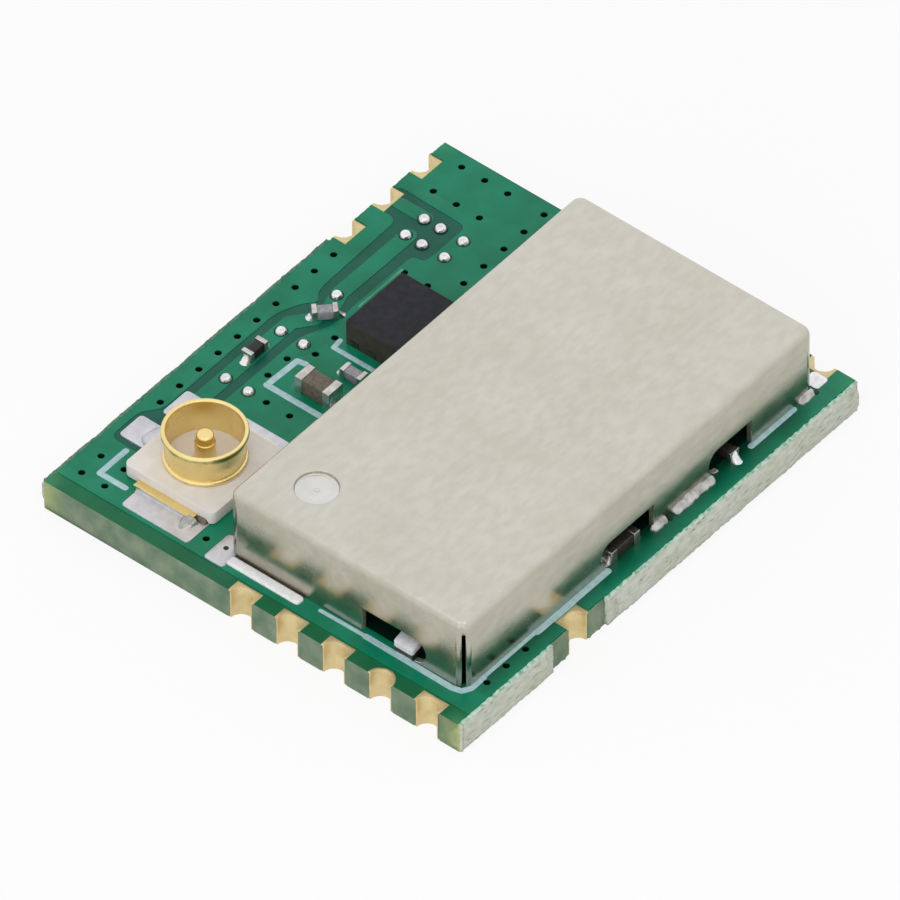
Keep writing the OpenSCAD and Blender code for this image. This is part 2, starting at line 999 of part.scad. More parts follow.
board();
edge_contacts();
shield_can();
can_solder();
connector_lands();
coax_insulator();
coax_outer_contact();
coax_centre_contact();
via_solder_domes();
memory_ic();
memory_ic_leads();
bend_inductor();
bend_inductor_ends();
series_resistor();
series_resistor_ends();
bypass_capacitor();
bypass_capacitor_ends();
small_capacitor();
small_capacitor_ends();
chip_solder();
front_port_chip();
front_port_chip_ends();
right_port_chip();
right_port_chip_ends();
back_port_chip();
back_port_chip_ends();
radio_ic();
radio_ic_leads();
crystal_base();
crystal_lid();
power_inductor();
power_inductor_ends();
matching_chips();
matching_chip_ends();
decoupling_chips();
decoupling_chip_ends();
crystal_capacitors();
crystal_capacitor_ends();
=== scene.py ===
import math

import bmesh
import bpy
from mathutils import Matrix, Vector, geometry, noise


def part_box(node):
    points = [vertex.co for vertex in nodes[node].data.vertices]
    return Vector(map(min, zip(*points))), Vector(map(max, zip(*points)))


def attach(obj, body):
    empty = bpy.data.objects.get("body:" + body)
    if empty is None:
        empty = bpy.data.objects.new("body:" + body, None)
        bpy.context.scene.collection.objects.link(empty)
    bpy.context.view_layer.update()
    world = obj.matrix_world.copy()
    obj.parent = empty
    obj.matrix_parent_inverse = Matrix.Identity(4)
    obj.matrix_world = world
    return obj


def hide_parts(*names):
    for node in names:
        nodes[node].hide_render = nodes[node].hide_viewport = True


# Looks of a small castellated radio module: solder mask over copper, snapped laminate edges,
# tinned lands, lumps of solder, a satin shield can and a gold micro coax socket.

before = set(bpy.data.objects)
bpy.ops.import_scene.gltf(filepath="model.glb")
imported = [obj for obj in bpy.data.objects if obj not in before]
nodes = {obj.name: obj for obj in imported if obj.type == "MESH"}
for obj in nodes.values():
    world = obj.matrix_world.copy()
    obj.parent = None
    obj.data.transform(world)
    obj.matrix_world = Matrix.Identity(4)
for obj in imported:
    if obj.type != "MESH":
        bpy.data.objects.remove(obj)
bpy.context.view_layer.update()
scene = bpy.context.scene

MM = 0.001

# A distance that counts as none
FINE = 0.002 * MM

# Faces wider than this, and faces level with one of them, are shaded flat
FLAT_WIDTH = 0.15 * MM
LEVEL = 0.99999

# Faces that turn less than the first angle are joined, and edges that turn more than the second are rounded
JOIN_ANGLE = math.radians(0.5)
SHARP_ANGLE = math.radians(30)

# Points on a round corner and on a small disc, and the part of an edge that a rounded corner takes at most
CORNER_STEPS = 5
DISC_STEPS = 14
EDGE_PART = 2.1

# How plates are cut from their outlines: only what lies inside, with points merged below a distance in
# millimetres, and with the edges of the top that turn more than an angle in radians rounded
INSIDE_ONLY = 1
MERGE = 1e-4
RIM_ANGLE = 1

# Camera of the photograph: turn, height and roll in degrees, distance in metres, focal length in
# pixels of the 900 pixel frame, and the pixel where the aimed point lies
VIEW_TURN, VIEW_HEIGHT, VIEW_ROLL = 40.07544, 45.14124, -0.51711
VIEW_DISTANCE = 0.813
FRAME_PX = 900
FOCAL_PX = 36220
AIM_PX = (451.318, 456.203)
AIM_BELOW_TOP = 0.8 * MM
SENSOR_MM = 36

# Places of the solids, in millimetres on the board's plane and in metres for heights
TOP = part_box("board")[1].z


def flat_box(node):
    low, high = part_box(node)
    return low.x / MM, low.y / MM, high.x / MM, high.y / MM


def flat_centre(node):
    x0, y0, x1, y1 = flat_box(node)
    return (x0 + x1) / 2, (y0 + y1) / 2


BOARD_X0, BOARD_Y0, BOARD_X1, BOARD_Y1 = flat_box("board")
CAN_X0, CAN_Y0, CAN_X1, CAN_Y1 = flat_box("shield_can")
BODY_X0, BODY_Y0, *_ = flat_box("coax_insulator")
IC_X0, IC_Y0, IC_X1, _ = flat_box("memory_ic")
CAP_X0, CAP_Y0, CAP_X1, _ = flat_box("bypass_capacitor_ends")
LINE_X = flat_centre("series_resistor")[0]


# Mesh helpers

def welded(node):
    """A copy of a solid's mesh with its seams closed and its flat faces joined."""
    bm = bmesh.new()
    bm.from_mesh(nodes[node].data)
    bmesh.ops.remove_doubles(bm, verts=bm.verts, dist=FINE / 10)
    bmesh.ops.dissolve_limit(bm, angle_limit=JOIN_ANGLE, verts=bm.verts, edges=bm.edges)
    return bm


def piece(name, bm, *materials, slot, stands_for=(), smooth=40):
    """Turns a bmesh into a piece that rides on the module; smooth is the least angle of a sharp edge."""
    bmesh.ops.recalc_face_normals(bm, faces=bm.faces)
    flat = set()
    for face in bm.faces:
        face.smooth = True
        if 2 * face.calc_area() / face.calc_perimeter() > FLAT_WIDTH:
            flat.add(face)
            beside = {f for e in face.edges for f in e.link_faces}
            flat.update(f for f in beside if f.normal.dot(face.normal) > LEVEL)
    for face in flat:
        face.smooth = False
    mesh = bpy.data.meshes.new(name)
    bm.to_mesh(mesh)
    bm.free()
    for mat in materials:
        mesh.materials.append(mat)
    mesh.set_sharp_from_angle(angle=math.radians(smooth))
    obj = bpy.data.objects.new(name, mesh)
    scene.collection.objects.link(obj)
    even = obj.modifiers.new("even", "WEIGHTED_NORMAL")
    even.weight = 100
    even.keep_sharp = True
    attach(obj, "root")
    if stands_for:
        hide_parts(*stands_for)


def bevel(bm, edges, radius, segments=2):
    bmesh.ops.bevel(
        bm, geom=edges, offset=radius * MM, segments=segments, profile=0.5,
        affect="EDGES", clamp_overlap=True,
    )


def round_edges(bm, radius, segments=2):
    sharp = [e for e in bm.edges if e.is_manifold and e.calc_face_angle(0) > SHARP_ANGLE]
    bevel(bm, sharp, radius, segments)


def softened(node, radius, mat, slot, segments=2, smooth=40):
    """A solid with its edges rounded, in place of the sharp one."""
    bm = welded(node)
    round_edges(bm, radius, segments)
    piece(node + "_soft", bm, mat, slot=slot, stands_for=[node], smooth=smooth)


def linked_groups(left, beside):
    """Splits a set into groups whose members reach one another through beside."""
    groups = []
    while left:
        queue = [left.pop()]
        group = list(queue)
        while queue:
            for other in beside(queue.pop()):
                if other in left:
                    left.remove(other)
                    queue.append(other)
                    group.append(other)
        groups.append(group)
    return groups


def islands(node):
    """Centre and size of each separate solid of a node, in millimetres."""
    bm = welded(node)
    found = []
    for group in linked_groups(set(bm.verts), lambda v: [w for e in v.link_edges for w in e.verts]):
        low = Vector(map(min, zip(*(v.co for v in group)))) / MM
        high = Vector(map(max, zip(*(v.co for v in group)))) / MM
        found.append(((low + high) / 2, high - low))
    bm.free()
    return sorted(found, key=lambda item: tuple(round(c, 4) for c in item[0]))


# Flat outlines, in millimetres

def rectangle(x0, y0, x1, y1, radius=0.0):
    if radius <= 0:
        return [(x0, y0), (x1, y0), (x1, y1), (x0, y1)]
    points = []
    for cx, cy, start in (
        (x1 - radius, y1 - radius, 0), (x0 + radius, y1 - radius, 90),
        (x0 + radius, y0 + radius, 180), (x1 - radius, y0 + radius, 270),
    ):
        for i in range(CORNER_STEPS + 1):
            a = math.radians(start + 90 * i / CORNER_STEPS)
            points.append((cx + radius * math.cos(a), cy + radius * math.sin(a)))
    return points


def disc(x, y, radius, steps=18):
    turn = 2 * math.pi / steps
    return [(x + radius * math.cos(i * turn), y + radius * math.sin(i * turn)) for i in range(steps)]


def stroke(points, width):
    """Outlines that together make a line with round ends and joints."""
    outlines = [disc(x, y, width / 2, DISC_STEPS) for x, y in points]
    for (ax, ay), (bx, by) in zip(points, points[1:]):
        along = Vector((bx - ax, by - ay)).normalized() * width / 2
        outlines.append([
            (ax + along.y, ay - along.x), (bx + along.y, by - along.x),
            (bx - along.y, by + along.x), (ax - along.y, ay + along.x),
        ])
    return outlines


def rounded(outline, radius):
    """The outline with each corner replaced by a short curve."""
    points = []
    for i, corner in enumerate(outline):
        here = Vector(corner)
        before = Vector(outline[i - 1]) - here
        after = Vector(outline[(i + 1) % len(outline)]) - here
        start = here + before.normalized() * min(radius, before.length / EDGE_PART)
        end = here + after.normalized() * min(radius, after.length / EDGE_PART)
        for j in range(CORNER_STEPS + 1):
            t = j / CORNER_STEPS
            points.append(tuple(start.lerp(here, t).lerp(here.lerp(end, t), t)))
    return points


def counter_clockwise(outline):
    area = sum(a[0] * b[1] - b[0] * a[1] for a, b in zip(outline, outline[1:] + outline[:1]))
    return outline if area > 0 else outline[::-1]


def plate_mesh(keep, cut, bottom, height, soft):
    """A closed plate over every keep outline and outside every cut outline, with a rounded top edge."""
    verts, faces = [], []
    for outline in (*keep, *cut):
        outline = counter_clockwise(list(outline))
        faces.append(list(range(len(verts), len(verts) + len(outline))))
        verts.extend(Vector(p) for p in outline)
    points, _, tris, _, _, sources = geometry.delaunay_2d_cdt(verts, [], faces, INSIDE_ONLY, MERGE)
    bm = bmesh.new()
    corner = [bm.verts.new((p.x * MM, p.y * MM, bottom)) for p in points]
    for tri, source in zip(tris, sources):
        inside = any(i < len(keep) for i in source)
        if inside and not any(i >= len(keep) for i in source):
            bm.faces.new([corner[i] for i in tri])
    loose = [v for v in bm.verts if not v.link_faces]
    bmesh.ops.delete(bm, geom=loose, context="VERTS")
    bmesh.ops.dissolve_limit(bm, angle_limit=JOIN_ANGLE, verts=bm.verts, edges=bm.edges)
    raised = bmesh.ops.extrude_face_region(bm, geom=bm.faces[:], use_keep_orig=True)["geom"]
    lifted = [v for v in raised if isinstance(v, bmesh.types.BMVert)]
    bmesh.ops.translate(bm, verts=lifted, vec=(0, 0, height * MM))
    bmesh.ops.recalc_face_normals(bm, faces=bm.faces)
    top = bottom + height * MM - FINE
    rim = [
        e for e in bm.edges
        if e.is_manifold and all(v.co.z > top for v in e.verts) and e.calc_face_angle(0) > RIM_ANGLE
    ]
    bevel(bm, rim, soft)
    return bm


# Materials

def linear(r, g, b):
    """A colour as seen on the screen, 0 to 255, as the shader's numbers."""
    def channel(c):
        c /= 255
        return c / 12.92 if c <= 0.04045 else ((c + 0.055) / 1.055) ** 2.4
    return channel(r), channel(g), channel(b), 1.0


def combined(tree, operation, first, second=0.0):
    """A Math node over two sockets or numbers."""
    node = tree.nodes.new("ShaderNodeMath")
    node.operation = operation
    for value, socket in zip((first, second), node.inputs):
        if isinstance(value, float):
            socket.default_value = value
        else:
            tree.links.new(value, socket)
    return node.outputs[0]


class Finish:
    """A Principled material whose colour, roughness and relief follow noise in the module's own frame."""

    def __init__(self, name, roughness, metallic=0.0, specular=0.5):
        self.mat = bpy.data.materials.new(name)
        self.mat.use_nodes = True
        self.tree = self.mat.node_tree
        self.shader = self.tree.nodes["Principled BSDF"]
        self.shader.inputs["Roughness"].default_value = roughness
        self.shader.inputs["Metallic"].default_value = metallic
        self.shader.inputs["Specular IOR Level"].default_value = specular
        coordinates = self.tree.nodes.new("ShaderNodeTexCoord")
        self.place = coordinates.outputs["Object"]
        self.facing = coordinates.outputs["Normal"]
        self.height = None

    def noise(self, size, detail=3.0, stretch=(1, 1, 1)):
        """Noise whose patches are about size millimetres across."""
        vector = self.place
        if stretch != (1, 1, 1):
            mapping = self.tree.nodes.new("ShaderNodeMapping")
            mapping.inputs["Scale"].default_value = stretch
            self.tree.links.new(vector, mapping.inputs["Vector"])
            vector = mapping.outputs["Vector"]
        node = self.tree.nodes.new("ShaderNodeTexNoise")
        node.inputs["Scale"].default_value = 1 / (size * MM)
        node.inputs["Detail"].default_value = detail
        self.tree.links.new(vector, node.inputs["Vector"])
        return node.outputs["Fac"]

    def ramp(self, factor, *stops):
        """Colour that runs through stops, each a position and a colour."""
        node = self.tree.nodes.new("ShaderNodeValToRGB")
        ramp = node.color_ramp
        while len(ramp.elements) < len(stops):
            ramp.elements.new(0.5)
        for element, (position, colour) in zip(ramp.elements, stops):
            element.position = position
            element.color = colour
        self.tree.links.new(factor, node.inputs["Fac"])
        return node.outputs["Color"]

    def mix(self, factor, first, second):
        node = self.tree.nodes.new("ShaderNodeMix")
        node.data_type = "RGBA"
        self.tree.links.new(factor, node.inputs["Factor"])
        self.tree.links.new(first, node.inputs["A"])
        self.tree.links.new(second, node.inputs["B"])
        return node.outputs["Result"]

    def reach(self, axis, start, end):
        """Rises from 0 to 1 with the distance in millimetres from the module's middle along an axis."""
        split = self.tree.nodes.new("ShaderNodeSeparateXYZ")
        self.tree.links.new(self.place, split.inputs["Vector"])
        node = self.tree.nodes.new("ShaderNodeMapRange")
        node.inputs["From Min"].default_value = start * MM
        node.inputs["From Max"].default_value = end * MM
        self.tree.links.new(combined(self.tree, "ABSOLUTE", split.outputs[axis]), node.inputs["Value"])
        return node.outputs["Result"]

    def corners(self, x0, x1, y0, y1, operation="MULTIPLY"):
        """Rises from 0 to 1 towards the module's corners, between distances in millimetres.

        With the operation MAXIMUM it rises towards all four edges.
        """
        return combined(self.tree, operation, self.reach("X", x0, x1), self.reach("Y", y0, y1))

    def tinted(self, first, second):
        """One colour multiplied by another."""
        node = self.tree.nodes.new("ShaderNodeMix")
        node.data_type = "RGBA"
        node.blend_type = "MULTIPLY"
        node.inputs["Factor"].default_value = 1.0
        self.tree.links.new(first, node.inputs["A"])
        self.tree.links.new(second, node.inputs["B"])
        return node.outputs["Result"]

    def upward(self):
        """One where the surface faces up and zero on upright walls."""
        split = self.tree.nodes.new("ShaderNodeSeparateXYZ")
        self.tree.links.new(self.facing, split.inputs["Vector"])
        return split.outputs["Z"]

    def colour(self, socket):
        self.tree.links.new(socket, self.shader.inputs["Base Color"])
        return self

    def patches(self, dark, light, size, low=0.35, high=0.65, detail=3.0, stretch=(1, 1, 1)):
        """Colour in patches between dark and light, between two values of the noise."""
        return self.ramp(self.noise(size, detail, stretch), (low, dark), (high, light))

    def mottled(self, *patches, **more):
        return self.colour(self.patches(*patches, **more))

    def satin(self, size, low, high, stretch=(1, 1, 1)):
        """Roughness in patches between low and high."""
        node = self.tree.nodes.new("ShaderNodeMapRange")
        node.inputs["From Min"].default_value = 0.3
        node.inputs["From Max"].default_value = 0.7
        node.inputs["To Min"].default_value = low
        node.inputs["To Max"].default_value = high
        self.tree.links.new(self.noise(size, 4.0, stretch), node.inputs["Value"])
        self.tree.links.new(node.outputs["Result"], self.shader.inputs["Roughness"])
        return self

    def grain(self, size, depth, detail=3.0, stretch=(1, 1, 1)):
        """Adds relief of a depth in millimetres."""
        bump = self.tree.nodes.new("ShaderNodeBump")
        bump.inputs["Distance"].default_value = depth * MM
        self.tree.links.new(self.noise(size, detail, stretch), bump.inputs["Height"])
        if self.height:
            self.tree.links.new(self.height, bump.inputs["Normal"])
        self.height = bump.outputs["Normal"]
        self.tree.links.new(self.height, self.shader.inputs["Normal"])
        return self


# Dark and light colours of the mask, and where they fade: from and to in X, from and to in Y
OVER_COPPER = (0.002, 0.183, 0.094, 1), (0.006, 0.235, 0.13, 1)
# Painted shade that the mask takes beside the can
PAINTED_SHADE_BY_CAN = (0.001, 0.04, 0.018, 1), (0.002, 0.065, 0.032, 1)
AT_CORNER = (0.03, 0.3, 0.13, 1), (0.09, 0.37, 0.16, 1)
# Where the painted shade beside the can gives way to the plain mask
PAINTED_SHADE_FADE = 5.45, 6.0, 4.9, 6.1
CORNER_FADE = 5.5, 6.3, 6.3, 7.1
ROUTED_FADE = 5.4, 6.1, 6.2, 6.6
MASK_PATCH = 0.9


def solder_mask(name, dark, light, foot=None):
    """Green mask, which lets more light through at the board's corners.

    foot holds the dark and light colours of a painted shade that it takes beside the can, which fades out
    towards the board's edges.
    """
    finish = Finish(name, 0.28, specular=0.28)
    plain = finish.patches(dark, light, MASK_PATCH, detail=5.0)
    if foot:
        shaded = finish.patches(*foot, MASK_PATCH, detail=5.0)
        plain = finish.mix(finish.corners(*PAINTED_SHADE_FADE, "MAXIMUM"), shaded, plain)
    finish.colour(finish.mix(finish.corners(*CORNER_FADE), plain, finish.patches(*AT_CORNER, 0.3)))
    finish.grain(0.25, 0.003).grain(0.05, 0.001)
    return finish.mat


MASK_COPPER = solder_mask("mask_over_copper", *OVER_COPPER)
MASK_WITH_PAINTED_SHADE = solder_mask("mask_with_painted_shade_by_can", *OVER_COPPER, PAINTED_SHADE_BY_CAN)
MASK_CHANNEL = solder_mask("mask_in_channel", (0.002, 0.09, 0.058, 1), (0.005, 0.115, 0.074, 1))
MASK_BARE = solder_mask("mask_over_laminate", (0.001, 0.115, 0.042, 1), (0.003, 0.15, 0.06, 1))
# Nearly black mask: painted shade under the can and round the solder domes
MASK_SHADE = solder_mask("mask_painted_shade", (0.001, 0.012, 0.008, 1), (0.002, 0.02, 0.013, 1))
# Pale mask: a painted highlight along the edge of the pour
MASK_PAINTED_HIGHLIGHT = solder_mask("mask_painted_highlight", (0.05, 0.3, 0.19, 1), (0.13, 0.42, 0.3, 1))


def snapped_laminate():
    finish = Finish("snapped_laminate", 0.85, specular=0.3)
    weave = finish.ramp(
        finish.noise(0.11, 6.0, (1, 0.4, 1.3)),
        (0.27, linear(132, 136, 122)), (0.38, linear(196, 200, 188)), (0.62, linear(216, 218, 210)),
    )
    tint = finish.patches((0.84, 0.86, 0.79, 1), (0.93, 0.93, 0.92, 1), 0.9, high=0.7)
    finish.colour(finish.tinted(weave, tint))
    finish.grain(0.09, 0.017, 5.0, (1, 0.5, 1))
    return finish.mat


def routed_laminate():
    finish = Finish("routed_laminate", 0.6, specular=0.3)
    plain = finish.patches(
        linear(94, 120, 96), linear(130, 144, 120), 0.5, detail=5.0, stretch=(1, 1, 0.8),
    )
    corner = finish.patches(linear(140, 160, 100), linear(176, 184, 128), 0.4, detail=4.0)
    finish.colour(finish.mix(finish.corners(*ROUTED_FADE), plain, corner))
    finish.grain(0.08, 0.006)
    return finish.mat


def chipped_mask():
    finish = Finish("chipped_mask", 0.6, specular=0.3)
    finish.mottled(linear(112, 178, 146), linear(206, 226, 214), 0.14, 0.34, 0.6, 4.0)
    finish.grain(0.06, 0.01)
    return finish.mat


# Nearly black: painted shade inside the via holes, on the plugs in them and in the pits in the solder
def via_hole_painted_shade():
    finish = Finish("via_hole_painted_shade", 0.5)
    finish.mottled(linear(6, 20, 14), linear(18, 38, 30), 0.1)
    return finish.mat


def matte(name, dark, light, roughness, size=0.08, depth=0.003):
    finish = Finish(name, roughness, specular=0.4)
    finish.mottled(dark, light, size, detail=5.0)
    finish.grain(size * 0.6, depth)
    return finish.mat


def metal(name, dark, light, low, high, size=0.3, grain_size=0.06, grain_depth=0.002):
    finish = Finish(name, low, metallic=1.0)
    finish.mottled(dark, light, size, detail=5.0)
    finish.satin(size, low, high)
    finish.grain(grain_size, grain_depth)
    return finish.mat


CONTACT_GOLD = metal("contact_gold", linear(212, 193, 144), linear(229, 212, 168), 0.5, 0.65)
RING_GOLD = metal("ring_gold", linear(241, 217, 146), linear(247, 226, 162), 0.24, 0.32, 0.8, 0.3, 0.0004)
SOLDER = metal("bright_solder", linear(218, 218, 222), linear(242, 242, 244), 0.14, 0.3, 0.18, 0.06, 0.005)
DULL_SOLDER = metal("dull_solder", linear(150, 149, 146), linear(206, 205, 203), 0.16, 0.28, 0.3, 0.12, 0.006)
TINNED = metal("tinned_land", linear(196, 196, 201), linear(217, 216, 222), 0.36, 0.52, 0.25, 0.08, 0.006)
# Dark brown metal: the memory package's leads and a brown smear at the socket, and painted shade in the gap
# at the can's foot and on the ends of the chip in the front port
TARNISH_AND_SHADE = metal("tarnish_and_painted_shade", linear(96, 89, 78), linear(126, 118, 104), 0.4, 0.55)
FROSTED = matte("frosted_tin", linear(204, 204, 210), linear(224, 224, 229), 0.35, 0.1, 0.006)
DIMPLED = matte("dimpled_solder", linear(232, 232, 236), linear(250, 250, 252), 0.35, 0.1, 0.01)
CHIP_END = metal("chip_end", linear(182, 178, 174), linear(216, 213, 210), 0.28, 0.42, 0.16, 0.06, 0.003)
CUT_EDGE = metal("cut_sheet", linear(206, 200, 186), linear(230, 226, 214), 0.5, 0.6, 0.1)
PRESSED = metal("pressed_mark", linear(210, 209, 206), linear(222, 221, 219), 0.2, 0.3, 0.5, 0.2, 0.0006)
LID = metal("lid_plate", linear(186, 186, 188), linear(206, 206, 208), 0.3, 0.4)


def can_sheet():
    finish = Finish("can_sheet", 0.3, metallic=1.0)
    broad = finish.patches(linear(199, 195, 182), linear(209, 206, 196), 2.2, high=0.68, detail=4.0)
    scuff = finish.patches(
        linear(199, 195, 183), linear(211, 208, 199), 0.22, 0.38, 0.62, 5.0, (1, 0.5, 1),
    )
    # Faces are tinted darker and warmer as they turn from level to upright: painted shade on the walls
    wall = finish.ramp(finish.upward(), (0.2, (0.77, 0.765, 0.71, 1)), (0.95, (1, 1, 1, 1)))
    finish.colour(finish.tinted(finish.mix(finish.noise(1.1), broad, scuff), wall))
    finish.satin(0.35, 0.19, 0.29, (1, 0.6, 1))
    finish.grain(0.9, 0.0015, 2.0).grain(0.12, 0.0006, 2.0, (1, 0.6, 1))
    return finish.mat


def epoxy():
    finish = Finish("black_epoxy", 0.6, specular=0.12)
    # The sides get a lighter, browner colour than the top: painted light on the sides
    side = finish.patches((0.05, 0.045, 0.037, 1), (0.066, 0.061, 0.05, 1), 0.2, detail=5.0)
    top = finish.patches((0.025, 0.026, 0.031, 1), (0.036, 0.036, 0.042, 1), 0.2, detail=5.0)
    finish.colour(finish.mix(finish.upward(), side, top))
    finish.grain(0.12, 0.0008)
    return finish.mat


CAN, EPOXY = can_sheet(), epoxy()

INSULATOR = matte("insulator", linear(227, 220, 215), linear(236, 230, 226), 0.5, 0.5, 0.002)
DARK_BODY = matte("dark_ceramic", linear(38, 32, 28), linear(56, 48, 42), 0.45)
# Near black: painted shade on the inside of the can
PAINTED_SHADE_SHEET = matte("can_inside_painted_shade", linear(20, 20, 18), linear(34, 33, 30), 0.6)
GREY = matte("grey_ceramic", linear(140, 140, 146), linear(164, 164, 170), 0.45)
BROWN = matte("brown_ceramic", linear(92, 84, 72), linear(114, 106, 94), 0.5)
GLAZE = matte("black_glaze", (0.008, 0.008, 0.008, 1), (0.016, 0.016, 0.017, 1), 0.35)
WHITE = matte("white_ceramic", linear(206, 200, 186), linear(220, 214, 202), 0.5)
INK = matte("legend_ink", linear(162, 198, 204), linear(184, 214, 218), 0.6, 0.15, 0.004)
LEFT_RIM = matte("left_rim", linear(48, 112, 84), linear(92, 134, 108), 0.6, 0.15, 0.006)
SNAPPED, ROUTED, CHIPPED, HOLE_SHADE = snapped_laminate(), routed_laminate(), chipped_mask(), via_hole_painted_shade()


# Board: rough snapped edges, chipped mask along them, open vias

CHIP_W = 0.1
CHIP_WANDER = 0.4
SNAP_DEPTH = 0.05
EDGE_STEP = 0.045
EDGE_LEVELS = 9
EDGE_ROUGH = 0.05
LEFT_WAVE = 0.06
LEFT_ROUGH = 0.4
RIM_DROP = 0.035
VIA_LIMIT = 0.25
UPRIGHT = 0.1
FACE_UP = 0.95

# Noise along the snapped edges: its place, and its waves to the millimetre along the edge and up it
COARSE = 7.0, 1.7, 1.5
CRUMBS = 3.0, 9.0, 7.0
BOW = 2.0, 1.1, 0.0

# Materials of the board's faces, in the order of its slots
ON_MASK, ON_CHIPPED, ON_SNAPPED, ON_ROUTED, ON_VIA, ON_LEFT_RIM = range(6)


def bisect(bm, faces, point, normal):
    geom = set(faces)
    for f in faces:
        geom.update(f.edges)
        geom.update(f.verts)
    bmesh.ops.bisect_plane(bm, geom=list(geom), plane_co=point, plane_no=normal, dist=FINE / 20)


def wall_groups(bm):
    """Side faces of the board, grouped by the wall that they make."""
    upright = {f for f in bm.faces if abs(f.normal.z) < UPRIGHT}
    return linked_groups(upright, lambda f: [g for e in f.edges for g in e.link_faces])


def via_walls(bm):
    """The wall of each via, with its box on the board's plane in metres."""
    walls = []
    for group in wall_groups(bm):
        xs = [v.co.x for f in group for v in f.verts]
        ys = [v.co.y for f in group for v in f.verts]
        if max(max(xs) - min(xs), max(ys) - min(ys)) < VIA_LIMIT * MM:
            walls.append((group, (min(xs), min(ys), max(xs), max(ys))))
    return walls


def find_vias():
    """Centre and radius of each via, in millimetres."""
    bm = welded("board")
    places = []
    for _, (x0, y0, x1, y1) in via_walls(bm):
        places.append(((x0 + x1) / 2 / MM, (y0 + y1) / 2 / MM, (x1 - x0) / 2 / MM))
    bm.free()
    return sorted(places)


VIAS = find_vias()


def edge_noise(side, at, place, along, up):
    return noise.noise(Vector((side * place, at.y * along, at.z * up)))


def rough_board():
    """The board with crumbled, chipped edges on its left and right."""
    bm = welded("board")
    edge_x = max(abs(v.co.x) for v in bm.verts if v.co.z > TOP - FINE)
    inner = edge_x - CHIP_W * MM
    for side in (-1, 1):
        bisect(bm, bm.faces[:], (side * inner, 0, 0), (1, 0, 0))

        def strip():
            return [f for f in bm.faces if side * f.calc_center_median().x > inner]

        for i in range(1, EDGE_LEVELS):
            bisect(bm, strip(), (0, 0, TOP * i / EDGE_LEVELS), (0, 0, 1))
        count = int((BOARD_Y1 - BOARD_Y0) / EDGE_STEP)
        for i in range(1, count):
            y = (BOARD_Y0 + (BOARD_Y1 - BOARD_Y0) * i / count) * MM
            bisect(bm, strip(), (0, y, 0), (0, 1, 0))
    bm.normal_update()
    for f in bm.faces:
        middle = f.calc_center_median()
        near_edge = abs(middle.x) > inner
        if abs(f.normal.z) > FACE_UP:
            rim = ON_CHIPPED if middle.x > 0 else ON_LEFT_RIM
            f.material_index = rim if near_edge and middle.z > TOP / 2 else ON_MASK
        elif near_edge and abs(middle.x) > edge_x - SNAP_DEPTH * MM:
            f.material_index = ON_SNAPPED
        else:
            f.material_index = ON_ROUTED
    # Via walls take the painted shade of the holes
    for group, _ in via_walls(bm):
        for f in group:
            f.material_index = ON_VIA
    for v in bm.verts:
        if abs(v.co.x) < inner - FINE:
            continue
        side = 1 if v.co.x > 0 else -1
        at = v.co / MM
        coarse = edge_noise(side, at, *COARSE)
        fine = edge_noise(side, at, *CRUMBS)
        shift = EDGE_ROUGH * (0.45 + 0.35 * coarse + 0.45 * fine)
        if side < 0:
            shift *= LEFT_ROUGH
            v.co.x += LEFT_WAVE * max(0.0, edge_noise(1, at, *BOW)) * MM
        if abs(at.x) * MM < inner + FINE:
            v.co.x += side * CHIP_WANDER * CHIP_W * MM * fine
        elif abs(at.x) * MM > edge_x - FINE:
            v.co.x -= side * max(0.0, shift) * MM
            if v.co.z > TOP - FINE:
                v.co.z -= RIM_DROP * (0.5 + 0.5 * fine) * MM
    piece(
        "board_laminate", bm, MASK_BARE, CHIPPED, SNAPPED, ROUTED, HOLE_SHADE, LEFT_RIM,
        slot="laminate", stands_for=["board"], smooth=50,
    )


rough_board()

# Copper under the mask: the ground pour with its channel round the antenna line, and the line itself

POUR_H = 0.022
POUR_SOFT = 0.008
THIN_SOFT = 0.002

# Heights of other plates, as shares of the pour's
CHANNEL_SHARE = 0.25
EDGE_SHARE = 1.4
SHADE_SHARE = 0.3
HALO_SHARE = 1.2

# How far the pour goes in under the can's walls and overlaps itself, and how far inside the can's outline
# the floor of painted shade starts
FOOT_IN = 0.16
POUR_LAP = 0.2
SHADE_IN = 0.17
SHADE_LEFT_BACK = 0.2

POUR_FRONT = BOARD_Y0 + 0.4
WEB_OUT = 0.1
ROUTED_IN = 0.1
POUR_LEFT = BOARD_X0 + WEB_OUT + 0.12
POUR_RIGHT = BOARD_X1 - WEB_OUT - 0.11
POUR_BACK = BOARD_Y1 - 0.03
LAND_CLEAR = 0.015
ROUTED_CLEAR = 0.03
ROUTED_HALF = 1
VIA_GROW = 1.02
PLUG_SHARE = 0.5
PLUG_SOFT = 0.01
LINE_W = 0.42
STUB_W = 0.36
EDGE_W = 0.06
EDGE_SOFT = 0.006
CHANNEL_ROUND = 0.25
CHANNEL_X0 = LINE_X - 0.47
CHANNEL_X1 = LINE_X + 0.43
UPPER_X0 = LINE_X - 0.27
UPPER_X1 = LINE_X + 0.74
BLOCK_X1 = LINE_X + 1.09
CONTACTS = islands("edge_contacts")
LEFT_CONTACTS = sorted((c for c, _ in CONTACTS if c.x < BOARD_X0 + 0.6), key=lambda c: c.y)
PATH_Y = LEFT_CONTACTS[1].y

